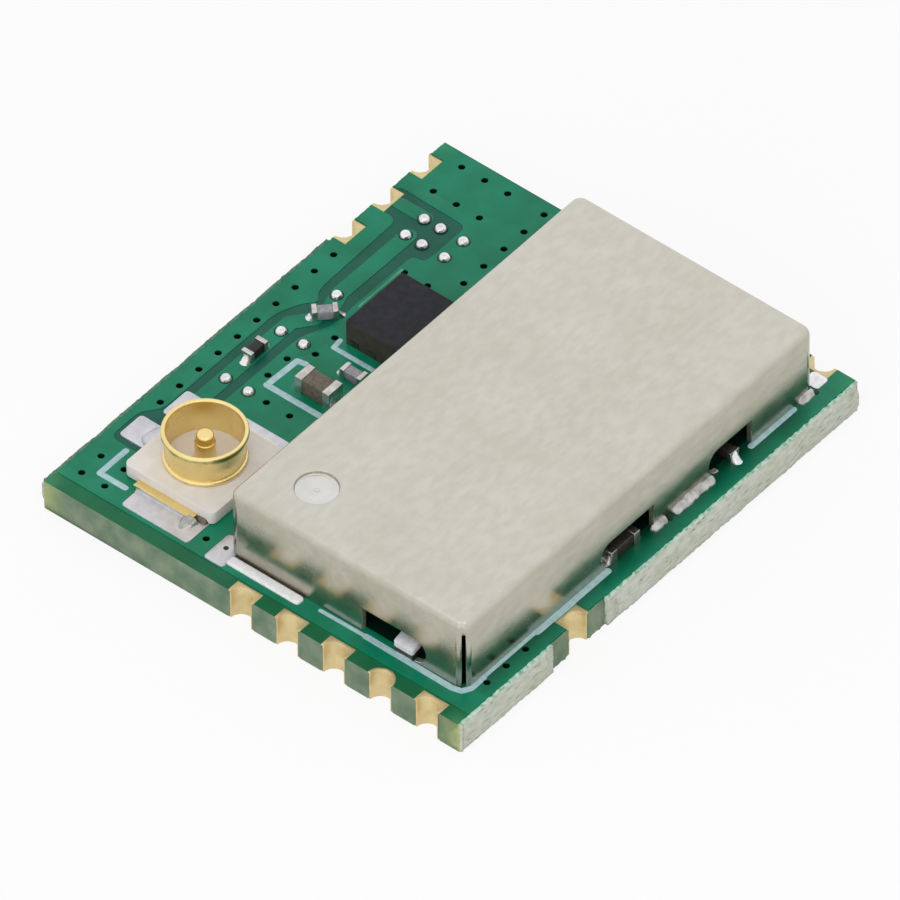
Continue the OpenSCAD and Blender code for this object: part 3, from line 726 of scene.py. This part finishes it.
antenna_channel = rounded([
    (LEFT_CONTACTS[1].x - 0.1, PATH_Y + 0.47), (BLOCK_X1 - 0.5, PATH_Y + 0.43), (BLOCK_X1, PATH_Y + 0.43),
    (BLOCK_X1, PATH_Y - 1.05), (UPPER_X1, PATH_Y - 1.05), (UPPER_X1, 1.55), (UPPER_X1 + 0.05, 1.05),
    (LINE_X + 0.64, 0.57), (LINE_X + 0.47, 0.22), (CHANNEL_X1, -0.1), (CHANNEL_X1, -2.6),
    (CHANNEL_X1, -3.9), (BODY_X0 + 0.3, -3.9), (BODY_X0 + 0.3, -5.0), (BODY_X0 - 1.02, -5.0),
    (BODY_X0 - 1.02, -3.98), (BODY_X0 - 0.82, -3.75), (CHANNEL_X0, -3.5), (CHANNEL_X0, 0.35),
    (LINE_X - 0.22, 0.98), (LINE_X + 0.06, 1.24), (LINE_X - 0.15, 1.45), (UPPER_X0 + 0.06, 1.75),
    (UPPER_X0, PATH_Y - 0.38), (LEFT_CONTACTS[1].x - 0.1, PATH_Y - 0.38),
], CHANNEL_ROUND)
antenna_line = [
    *stroke([(LINE_X + 0.24, PATH_Y - 0.62), (LINE_X + 0.24, 1.75), (LINE_X + 0.42, 1.15)], LINE_W),
    *stroke([(LINE_X + 0.3, 0.75), (LINE_X - 0.03, 0.35), (LINE_X - 0.03, -3.0)], LINE_W),
    *stroke([(LEFT_CONTACTS[1].x + 0.3, PATH_Y + 0.06), (LINE_X + 0.2, PATH_Y + 0.06)], STUB_W),
]


def land_cuts():
    """Outlines kept free for the contacts' lands and the routed stretch of the right edge."""
    cuts = []
    for middle, size in CONTACTS:
        grow_x, grow_y = size.x / 2 + LAND_CLEAR, size.y / 2 + LAND_CLEAR
        cuts.append(rectangle(middle.x - grow_x, middle.y - grow_y, middle.x + grow_x, middle.y + grow_y))
    right_y = max(CONTACTS, key=lambda item: item[0].x)[0].y
    routed_x = BOARD_X1 - WEB_OUT - ROUTED_IN - ROUTED_CLEAR
    cuts.append(rectangle(routed_x, right_y - ROUTED_HALF, BOARD_X1, right_y + ROUTED_HALF))
    return cuts


def via_cuts():
    return [disc(x, y, r * VIA_GROW, DISC_STEPS) for x, y, r in VIAS]


def board_plate(name, mat, keep, cut, height, soft, bottom=TOP):
    """A flat piece of the board, such as copper under its mask, or ink."""
    piece(name, plate_mesh(keep, cut, bottom, height, soft), mat, slot="laminate")


def copper():
    lands, holes = land_cuts(), via_cuts()
    pour = [
        rectangle(POUR_LEFT, POUR_FRONT, CAN_X0 + FOOT_IN, POUR_BACK),
        rectangle(CAN_X0 - POUR_LAP, POUR_FRONT, POUR_RIGHT, CAN_Y0 + FOOT_IN),
        rectangle(CAN_X0 - POUR_LAP, CAN_Y1 - FOOT_IN, POUR_RIGHT, POUR_BACK),
    ]
    board_plate("ground_pour", MASK_COPPER, pour, [antenna_channel, *lands, *holes], POUR_H, POUR_SOFT)
    # The pour beside the can carries painted shade, darkest next to the can's wall
    side = rectangle(CAN_X1 - FOOT_IN, CAN_Y0 + FOOT_IN, POUR_RIGHT, CAN_Y1 - FOOT_IN)
    board_plate("side_pour", MASK_WITH_PAINTED_SHADE, [side], [*lands, *holes], POUR_H, POUR_SOFT)
    channel_h = POUR_H * CHANNEL_SHARE
    board_plate("antenna_channel", MASK_CHANNEL, [antenna_channel], [*holes, *lands], channel_h, THIN_SOFT)
    # A pale line along the pour's edge beside the memory package is a painted highlight
    edge = stroke([(UPPER_X1 + 0.11, 1.72), (UPPER_X1 + 0.11, PATH_Y - 1.55)], EDGE_W)
    board_plate("pour_edge_painted_highlight", MASK_PAINTED_HIGHLIGHT, edge, [], POUR_H * EDGE_SHARE, EDGE_SOFT)
    # A nearly black plate under the can is painted shade
    inner = rectangle(
        CAN_X0 + SHADE_LEFT_BACK, CAN_Y0 + SHADE_IN, CAN_X1 - SHADE_IN, CAN_Y1 - SHADE_LEFT_BACK,
    )
    board_plate("mask_painted_shade", MASK_SHADE, [inner], holes, POUR_H * SHADE_SHARE, THIN_SOFT)
    board_plate("antenna_line", MASK_COPPER, antenna_line, [*holes, *lands], POUR_H, POUR_SOFT)
    # Dark plugs halfway down the vias carry painted shade of the holes
    plug_bottom = TOP * (1 - PLUG_SHARE) / 2
    board_plate("via_painted_shade_plugs", HOLE_SHADE, holes, [], TOP * PLUG_SHARE / MM, PLUG_SOFT, plug_bottom)


copper()

# Printed legend: the width of each line and the points that it runs through

INK_H = 0.03
INK_SOFT = 0.004
LEGEND = {
    "legend_socket": [
        (0.15, [
            (BODY_X0 - 0.45, BODY_Y0 + 0.61), (BODY_X0 - 0.45, BODY_Y0 - 0.3), (BODY_X0 + 0.3, BODY_Y0 - 0.3),
        ]),
    ],
    "legend_capacitor": [
        (0.16, [
            (CAP_X0 - 0.36, CAP_Y0 + 0.8), (CAP_X0 - 0.56, CAP_Y0 + 0.76),
            (CAP_X0 - 0.6, CAP_Y0 - 0.26), (CAP_X1 + 0.8, CAP_Y0 - 0.26),
        ]),
    ],
    "legend_memory": [
        (0.13, [(IC_X0 - 0.15, IC_Y0 - 0.02), (IC_X0 - 0.12, IC_Y0 - 0.28), (IC_X1, IC_Y0 - 0.28)]),
    ],
    "legend_can": [
        (0.1, [(CAN_X1 - 4.1, CAN_Y0 - 0.1), (CAN_X1 - 2.8, CAN_Y0 - 0.08)]),
        (0.16, [
            (CAN_X1 - 2.8, CAN_Y0 - 0.08), (CAN_X1 - 0.3, CAN_Y0 - 0.1), (CAN_X1 - 0.05, CAN_Y0 - 0.04),
            (CAN_X1 + 0.06, CAN_Y0 + 0.16), (CAN_X1 + 0.05, CAN_Y0 + 0.6),
        ]),
        (0.1, [(CAN_X1 + 0.05, CAN_Y0 + 0.6), (CAN_X1 + 0.05, CAN_Y0 + 2.4)]),
        (0.18, [(CAN_X1 + 0.07, CAN_Y0 + 2.45), (CAN_X1 + 0.07, CAN_Y0 + 4.92)]),
        (0.16, [(CAN_X1 + 0.05, CAN_Y1 - 2.3), (CAN_X1 + 0.05, CAN_Y1 - 0.8)]),
    ],
}


def legend():
    for name, lines in LEGEND.items():
        outlines = [o for width, line in lines for o in stroke(line, width)]
        board_plate(name, INK, outlines, via_cuts(), INK_H, INK_SOFT)


legend()

# Solder

# A bead's points across it, the distance and the least number of its rings, and its round ends: their
# length as a share of its reach and the least size there
ARC_STEPS = 8
BEAD_STEP = 0.03
BEAD_RINGS = 8
END_SHARE = 0.6
END_LEAST = 0.12
RISE_LEAST = 0.004

# Waves and dents to the millimetre along a bead, dents across it, and the place of each in the noise
WAVES = 3.1
DENTS = 7.3
DENTS_ACROSS = 0.6
WAVE_PLACE = 0.5
DENT_PLACE = 5.5


def bead(start, end, out, reach, climb, hollow, lump, seed):
    """Solder along the foot of a wall from start to end, with round ends.

    It reaches out and climbs by millimetres, is full at hollow 0 and sunk at 1, and is uneven by
    the share lump.
    """
    start, end, out = (Vector((*p, 0)) for p in (start, end, out))
    length = (end - start).length
    count = max(BEAD_RINGS, int(length / BEAD_STEP))
    bm = bmesh.new()
    rings = []
    for i in range(count + 1):
        s = i / count
        past = max(0.0, 1 - min(s, 1 - s) * length / (END_SHARE * reach))
        taper = max(END_LEAST, (1 - past ** 2) ** 0.5)
        base = start.lerp(end, s)
        wave = 1 + lump * noise.noise(Vector((s * length * WAVES, seed, WAVE_PLACE)))
        ring = [base]
        for j in range(ARC_STEPS + 1):
            a = math.pi / 2 * j / ARC_STEPS
            full = Vector((math.cos(a), math.sin(a)))
            sunk = Vector((1 - math.sin(a), 1 - math.cos(a)))
            spread = full.lerp(sunk, hollow)
            dent = 1 + lump * noise.noise(Vector((s * length * DENTS, j * DENTS_ACROSS, seed + DENT_PLACE)))
            size = taper * wave * dent
            edge = max(spread.x * reach * size, 0.0)
            rise = max(spread.y * climb * size, RISE_LEAST)
            ring.append(base + out * edge + Vector((0, 0, rise)))
        rings.append([bm.verts.new((p.x * MM, p.y * MM, TOP + p.z * MM)) for p in ring])
    for a, b in zip(rings, rings[1:]):
        for j in range(len(a)):
            k = (j + 1) % len(a)
            bm.faces.new((a[j], a[k], b[k], b[j]))
    bm.faces.new(rings[0][::-1])
    bm.faces.new(rings[-1])
    return bm


def join(meshes):
    """One bmesh of several, which are freed."""
    whole = bmesh.new()
    for bm in meshes:
        mesh = bpy.data.meshes.new("part")
        bm.to_mesh(mesh)
        bm.free()
        whole.from_mesh(mesh)
        bpy.data.meshes.remove(mesh)
    return whole


# Lands and the strip at the can's foot; solids lower than the limit are lands
LAND_H = 0.05
LAND_ROUND = 0.1
LAND_SOFT = 0.03
LAND_LIMIT = 0.1
STRIP_W = 0.26
STRIP_H = 0.085
STRIP_SOFT = 0.04
STRIP_LEFT = 0.1
STRIP_FRONT = 0.01
STRIP_GAP = 0.05
FOOT_SHADE_SHARE = 1.3
LUMP_SHARE = 0.95

# Ends of the lumps on the right from those of their solids: the lump at the back, the short and the long one
LUMP_ENDS = [(-0.1, 0.05), (-0.16, -0.23), (-0.16, 0.12)]

# Dark pits in the solder, painted shade of holes, with their bottom and height as shares of a land's height
PIT_R = 0.065
PIT_BOTTOM = 0.6
PIT_SHARE = 0.5
PIT_SOFT = 0.004
PITS = [(CAN_X0 - 0.12, CAN_Y0 + 0.05), (CAN_X1 + 0.1, CAN_Y1 - 0.06), (CAN_X1 + 0.1, 0.97)]


def can_solder():
    """Solder along the can's foot: a strip at the front with a dark fillet behind it as painted shade, lands
    at two corners and lumps on the right.
    """
    strips, foot_shade, lands, lumps = [], [], [], []
    for i, (middle, size) in enumerate(islands("can_solder")):
        low, high = middle - size / 2, middle + size / 2
        if size.z < LAND_LIMIT:
            outline = rectangle(low.x, low.y, high.x, high.y, LAND_ROUND)
            lands.append(plate_mesh([outline], [], TOP, LAND_H, LAND_SOFT))
        elif size.x > size.y:
            strip = rectangle(
                low.x - STRIP_LEFT, low.y - STRIP_FRONT, high.x, low.y + STRIP_W, STRIP_W / 3,
            )
            strips.append(plate_mesh([strip], [], TOP, STRIP_H, STRIP_SOFT))
            # A dark fillet along the wall behind the strip is painted shade of the gap
            foot_shade.append(bead(
                (low.x, high.y), (high.x, high.y), (0, -1), STRIP_GAP, STRIP_H * FOOT_SHADE_SHARE,
                hollow=0.9, lump=0.1, seed=i,
            ))
        else:
            before, after = LUMP_ENDS[len(lumps)]
            lumps.append(bead(
                (low.x, low.y + before), (low.x, high.y + after), (1, 0),
                size.x * LUMP_SHARE, size.z * LUMP_SHARE, hollow=0.12, lump=0.07, seed=i,
            ))
    piece("can_solder_strip", join(strips), DIMPLED, slot="solder", stands_for=["can_solder"], smooth=60)
    piece("can_front_land", lands[0], TINNED, slot="solder")
    piece("can_back_land", lands[1], SOLDER, slot="solder")
    piece("can_foot_painted_shade", join(foot_shade), TARNISH_AND_SHADE, slot="solder", smooth=60)
    piece("can_solder_right", join(lumps), DULL_SOLDER, slot="solder", smooth=60)
    pits = [disc(x, y, PIT_R, DISC_STEPS) for x, y in PITS]
    bm = plate_mesh(pits, [], TOP + LAND_H * MM * PIT_BOTTOM, LAND_H * PIT_SHARE, PIT_SOFT)
    piece("solder_pits_painted_shade", bm, HOLE_SHADE, slot="solder")


can_solder()


def connector_lands():
    """Tinned lands of the socket, and solder at its tail and along its near foot."""
    lands = []
    for middle, size in islands("connector_lands"):
        low, high = middle - size / 2, middle + size / 2
        outline = rectangle(low.x, low.y, high.x, high.y, LAND_ROUND)
        lands.append(plate_mesh([outline], [], TOP, size.z, LAND_SOFT))
    piece("connector_land_tin", join(lands), TINNED, slot="solder", stands_for=["connector_lands"])
    middle_x, middle_y = flat_centre("coax_insulator")
    foot_y = flat_box("coax_outer_contact")[1]
    tail = bead(
        (BODY_X0, middle_y - 0.38), (BODY_X0, middle_y + 0.38), (-1, 0), 0.42, 0.24,
        hollow=0.0, lump=0.06, seed=3,
    )
    foot = bead(
        (middle_x - 0.8, foot_y), (middle_x + 0.95, foot_y), (0, -1), 0.1, 0.13,
        hollow=0.8, lump=0.08, seed=4,
    )
    end = bead(
        (middle_x + 0.56, foot_y + 0.06), (middle_x + 1.02, foot_y + 0.06), (0, -1), 0.54, 0.18,
        hollow=0.4, lump=0.12, seed=5,
    )
    flux = bead(
        (middle_x + 0.84, foot_y + 0.2), (middle_x + 1.18, foot_y + 0.2), (0, -1), 0.16, 0.15,
        hollow=0.3, lump=0.1, seed=6,
    )
    piece("connector_joints", join([tail, foot]), TINNED, slot="solder", smooth=60)
    piece("connector_joint_end", end, DULL_SOLDER, slot="solder", smooth=60)
    piece("connector_joint_flux", flux, TARNISH_AND_SHADE, slot="solder", smooth=60)


connector_lands()

# Solder domes with a dimple on top: their outline as shares of the solid's radius and height
DOME_STEPS = 20
DOME_WOBBLE = 0.07
DOME_PLACE = 3
DOME_TIP = 0.02
DOME_RISE = 1.25
DOME_PROFILE = [
    (0.0, 0.7), (0.1, 0.72), (0.2, 0.9), (0.34, 1.0), (0.56, 0.92), (0.78, 0.66), (0.92, 0.34), (1.0, 0.0),
]
# Size of the dark ring of painted shade round each dome, as a share of its radius
DOME_HALO = 1.14
HALO_SOFT = 0.004


def solder_domes():
    bm = bmesh.new()
    domes = islands("via_solder_domes")
    for middle, size in domes:
        rings = []
        for share, rise in DOME_PROFILE:
            ring = []
            for i in range(DOME_STEPS):
                a = 2 * math.pi * i / DOME_STEPS
                around = Vector((math.cos(a), math.sin(a), middle.y * DOME_PLACE))
                r = max(share, DOME_TIP) * size.x / 2 * (1 + DOME_WOBBLE * noise.noise(around))
                ring.append(bm.verts.new((
                    (middle.x + r * math.cos(a)) * MM, (middle.y + r * math.sin(a)) * MM,
                    TOP + rise * size.z * DOME_RISE * MM,
                )))
            rings.append(ring)
        for inner, outer in zip(rings, rings[1:]):
            for i in range(DOME_STEPS):
                k = (i + 1) % DOME_STEPS
                bm.faces.new((inner[i], outer[i], outer[k], inner[k]))
        bm.faces.new(rings[0])
        bm.faces.new(rings[-1][::-1])
    piece("solder_domes", bm, SOLDER, slot="solder", stands_for=["via_solder_domes"], smooth=80)
    # Dark rings of painted shade round the domes
    halos = [disc(c.x, c.y, size.x / 2 * DOME_HALO) for c, size in domes]
    board_plate("dome_painted_shade_rings", MASK_SHADE, halos, [], POUR_H * HALO_SHARE, HALO_SOFT)


solder_domes()

# Rounded copies of the solids

# The floor of the pressed mark lies between one and two of these depths under the roof
MARK_DEPTH = 0.08
SHEET_ROUND = 0.012
FACING = 0.9

# Materials of the can's faces, in the order of its slots after the sheet itself
ON_INSIDE, ON_CUT, ON_MARK = 1, 2, 3


def shield_can():
    """The can with its inside painted dark as shade, bright cut edges and a bright floor in its pressed mark.
    """
    bm = welded("shield_can")
    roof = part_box("shield_can")[1].z
    sheet = roof - max(f.calc_center_median().z for f in bm.faces if f.normal.z < -FACING)

    def depth(v):
        """How far inside the can's box a corner lies."""
        x, y = v.co.x / MM, v.co.y / MM
        return min(x - CAN_X0, CAN_X1 - x, y - CAN_Y0, CAN_Y1 - y, (roof - v.co.z) / MM) * MM

    for f in bm.faces:
        depths = [depth(v) for v in f.verts]
        middle_z = f.calc_center_median().z
        if f.normal.z < -FACING and middle_z < TOP + FINE:
            continue
        if f.normal.z > FACING and MARK_DEPTH < (roof - middle_z) / MM < 2 * MARK_DEPTH:
            f.material_index = ON_MARK
        elif min(depths) > sheet - FINE:
            f.material_index = ON_INSIDE
        elif min(depths) < FINE and max(depths) > sheet - FINE:
            f.material_index = ON_CUT
    round_edges(bm, SHEET_ROUND, 1)
    piece(
        "shield_can_soft", bm, CAN, PAINTED_SHADE_SHEET, CUT_EDGE, PRESSED,
        slot="can_sheet", stands_for=["shield_can"], smooth=35,
    )


shield_can()
softened("edge_contacts", 0.012, CONTACT_GOLD, "gold_plating", 2, 35)
softened("coax_insulator", 0.04, INSULATOR, "insulator", 3)
softened("coax_outer_contact", 0.01, RING_GOLD, "connector_gold", 2, 35)
softened("coax_centre_contact", 0.015, RING_GOLD, "connector_gold", 2, 35)
softened("memory_ic", 0.025, EPOXY, "black_epoxy")
CHIPS = {
    "bend_inductor": (GREY, "grey_ceramic"),
    "series_resistor": (GLAZE, "black_glaze"),
    "bypass_capacitor": (BROWN, "brown_ceramic"),
    "small_capacitor": (GREY, "grey_ceramic"),
    "front_port_chip": (DARK_BODY, "brown_ceramic"),
    "right_port_chip": (DARK_BODY, "brown_ceramic"),
    "back_port_chip": (DARK_BODY, "brown_ceramic"),
}
BODY_ROUND = 0.03
END_ROUND = 0.008

# Solder at the chips' ends: its reach, and its climb as a share of the chip's height
FILLETS = 0.2, 0.75
PORT_FILLETS = {
    "front_port_chip": (0.03, 0.3),
    "right_port_chip": (0.16, 0.95),
    "back_port_chip": (0.24, 1.0),
}
FILLET_WIDTH = 0.98
FILLET_SUNK = 0.01

# Tinned top of the chip in the front port: length, width, thickness, slope, and how far it stands out
TILE_L, TILE_W, TILE_T, TILE_DROP, TILE_OUT = 0.56, 0.36, 0.05, 0.25, 0.03
TILE_ROUND = 0.06
TILE_TALL = 1.4
TILE_SOFT = 0.03


def chip_fillets():
    """Solder drawn up the ends of each chip on the board."""
    meshes = []
    for i, chip in enumerate(CHIPS):
        (first, _), (second, _) = islands(chip + "_ends")
        along = (second - first).to_2d().normalized()
        across = Vector((-along.y, along.x))
        middle = ((first + second) / 2).to_2d()
        corners = [v.co.to_2d() / MM - middle for v in nodes[chip + "_ends"].data.vertices]
        half_l = max(c.dot(along) for c in corners)
        half_w = max(c.dot(across) for c in corners) * FILLET_WIDTH
        height = (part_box(chip + "_ends")[1].z - TOP) / MM
        reach, climb = PORT_FILLETS.get(chip, FILLETS)
        for side in (-1, 1):
            foot = middle + along * side * (half_l - FILLET_SUNK)
            meshes.append(bead(
                foot - across * half_w, foot + across * half_w, along * side, reach, height * climb,
                hollow=0.7, lump=0.12, seed=i * 2 + side,
            ))
    piece("chip_fillets", join(meshes), SOLDER, slot="solder", stands_for=["chip_solder"], smooth=60)


chip_fillets()


def front_port_tin():
    """The tinned top of the chip in the front port, which slopes to the front."""
    x, _ = flat_centre("front_port_chip_ends")
    front = flat_box("front_port_chip_ends")[1] - TILE_OUT
    back = front + TILE_W
    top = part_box("front_port_chip_ends")[1].z
    outline = rectangle(x - TILE_L / 2, front, x + TILE_L / 2, back, TILE_ROUND)
    height = TILE_TALL * TILE_T + TILE_W * TILE_DROP
    bm = plate_mesh([outline], [], top - TILE_T * MM, height, TILE_SOFT)
    for v in bm.verts:
        v.co.z -= (back * MM - v.co.y) * TILE_DROP
    piece("front_port_tin", bm, FROSTED, slot="solder", smooth=60)


front_port_tin()
for chip, (mat, slot) in CHIPS.items():
    softened(chip, BODY_ROUND, mat, slot, 3)
    # The ends of the chip in the front port are dark: painted shade
    end = TARNISH_AND_SHADE if chip == "front_port_chip" else CHIP_END
    softened(chip + "_ends", END_ROUND, end, "chip_ends", 1)

# Solids that keep their form: what lies under the can, and the leads of the memory package
AS_BUILT = {
    "memory_ic_leads": TARNISH_AND_SHADE, "radio_ic": EPOXY, "radio_ic_leads": CHIP_END, "crystal_base": WHITE,
    "crystal_lid": LID, "power_inductor": GREY, "power_inductor_ends": CHIP_END, "matching_chips": BROWN,
    "matching_chip_ends": CHIP_END, "decoupling_chips": BROWN, "decoupling_chip_ends": CHIP_END,
    "crystal_capacitors": BROWN, "crystal_capacitor_ends": CHIP_END,
}
for node, mat in AS_BUILT.items():
    for slot in nodes[node].material_slots:
        slot.material = mat

# Camera

def camera():
    turn, height, roll = (math.radians(a) for a in (VIEW_TURN, VIEW_HEIGHT, VIEW_ROLL))
    back = Vector((math.sin(turn) * math.cos(height), -math.cos(turn) * math.cos(height), math.sin(height)))
    level = Vector((math.cos(turn), math.sin(turn), 0))
    upright = back.cross(level)
    right = level * math.cos(roll) + upright * math.sin(roll)
    up = upright * math.cos(roll) - level * math.sin(roll)
    place = Vector((0, 0, TOP - AIM_BELOW_TOP)) + back * VIEW_DISTANCE
    data = bpy.data.cameras.new("camera")
    data.sensor_width = SENSOR_MM
    data.lens = FOCAL_PX / FRAME_PX * SENSOR_MM
    data.shift_x = -(AIM_PX[0] - FRAME_PX / 2) / FRAME_PX
    data.shift_y = (AIM_PX[1] - FRAME_PX / 2) / FRAME_PX
    obj = bpy.data.objects.new("camera", data)
    scene.collection.objects.link(obj)
    obj.matrix_world = Matrix((
        (right.x, up.x, back.x, place.x),
        (right.y, up.y, back.y, place.y),
        (right.z, up.z, back.z, place.z),
        (0, 0, 0, 1),
    ))
    scene.camera = obj


camera()

# Studio: pale floor that partly glows, light from all round, and a lamp towards the front

FLOOR_HALF = 1.5
FLOOR_GLOW = 0.85
PAPER = (0.92, 0.92, 0.92, 1)
WHITE_LIGHT = (1, 1, 1, 1)
AMBIENT = 0.66

# Lamp: its share of the light on a level face, direction, distance and side in metres, and the cosines
# between which the surroundings behind it fade away in reflections
KEY_SHARE = 0.35
KEY_FROM = Vector((0.3, -0.6, 0.74)).normalized()
KEY_DISTANCE = 0.12
KEY_SIDE = 0.14
KEY_COVER = (0.81, 0.885)


def seen_directly(tree):
    """One for rays that show the surroundings: from the camera, off metal or through glass."""
    path = tree.nodes.new("ShaderNodeLightPath")
    socket = path.outputs["Is Camera Ray"]
    for other in ("Is Glossy Ray", "Is Transmission Ray"):
        socket = combined(tree, "MAXIMUM", socket, path.outputs[other])
    return socket


def floor():
    """A sheet of paper that is seen from above only."""
    bm = bmesh.new()
    bmesh.ops.create_grid(bm, x_segments=2, y_segments=2, size=FLOOR_HALF)
    mesh = bpy.data.meshes.new("floor")
    bm.to_mesh(mesh)
    bm.free()
    obj = bpy.data.objects.new("floor", mesh)
    obj.location.z = -FINE
    scene.collection.objects.link(obj)
    mat = bpy.data.materials.new("floor_paper")
    mat.use_nodes = True
    tree = mat.node_tree
    tree.nodes.remove(tree.nodes["Principled BSDF"])
    paper = tree.nodes.new("ShaderNodeBsdfDiffuse")
    paper.inputs["Color"].default_value = PAPER
    glow = tree.nodes.new("ShaderNodeEmission")
    glow.inputs["Color"].default_value = WHITE_LIGHT
    mix = tree.nodes.new("ShaderNodeMixShader")
    tree.links.new(combined(tree, "MULTIPLY", seen_directly(tree), FLOOR_GLOW), mix.inputs["Fac"])
    tree.links.new(paper.outputs[0], mix.inputs[1])
    tree.links.new(glow.outputs[0], mix.inputs[2])
    clear = tree.nodes.new("ShaderNodeBsdfTransparent")
    facing = tree.nodes.new("ShaderNodeNewGeometry").outputs["Backfacing"]
    top = tree.nodes.new("ShaderNodeMixShader")
    tree.links.new(facing, top.inputs["Fac"])
    tree.links.new(mix.outputs[0], top.inputs[1])
    tree.links.new(clear.outputs[0], top.inputs[2])
    tree.links.new(top.outputs[0], tree.nodes["Material Output"].inputs["Surface"])
    mesh.materials.append(mat)


def surroundings():
    """A white room, with the part of its wall behind the lamp hidden from metal."""
    world = bpy.data.worlds.new("studio")
    scene.world = world
    world.use_nodes = True
    tree = world.node_tree
    light = tree.nodes["Background"]
    light.inputs["Color"].default_value = WHITE_LIGHT
    light.inputs["Strength"].default_value = AMBIENT
    white = tree.nodes.new("ShaderNodeBackground")
    white.inputs["Color"].default_value = WHITE_LIGHT
    toward = tree.nodes.new("ShaderNodeVectorMath")
    toward.operation = "DOT_PRODUCT"
    toward.inputs[1].default_value = KEY_FROM
    tree.links.new(tree.nodes.new("ShaderNodeTexCoord").outputs["Generated"], toward.inputs[0])
    cover = tree.nodes.new("ShaderNodeMapRange")
    cover.inputs["From Min"].default_value = KEY_COVER[0]
    cover.inputs["From Max"].default_value = KEY_COVER[1]
    tree.links.new(toward.outputs["Value"], cover.inputs["Value"])
    glossy = tree.nodes.new("ShaderNodeLightPath").outputs["Is Glossy Ray"]
    covered = combined(tree, "MULTIPLY", cover.outputs["Result"], glossy)
    tree.links.new(combined(tree, "SUBTRACT", 1.0, covered), white.inputs["Strength"])
    mix = tree.nodes.new("ShaderNodeMixShader")
    tree.links.new(seen_directly(tree), mix.inputs["Fac"])
    tree.links.new(light.outputs[0], mix.inputs[1])
    tree.links.new(white.outputs[0], mix.inputs[2])
    tree.links.new(mix.outputs[0], tree.nodes["World Output"].inputs["Surface"])


def key_light():
    data = bpy.data.lights.new("key", "AREA")
    data.shape = "SQUARE"
    data.size = KEY_SIDE
    data.energy = KEY_SHARE * math.pi ** 2 * KEY_DISTANCE ** 2 / KEY_FROM.z
    obj = bpy.data.objects.new("key", data)
    obj.location = KEY_FROM * KEY_DISTANCE
    obj.rotation_euler = KEY_FROM.to_track_quat("Z", "Y").to_euler()
    scene.collection.objects.link(obj)


floor()
surroundings()
key_light()
scene.view_settings.view_transform = "Standard"
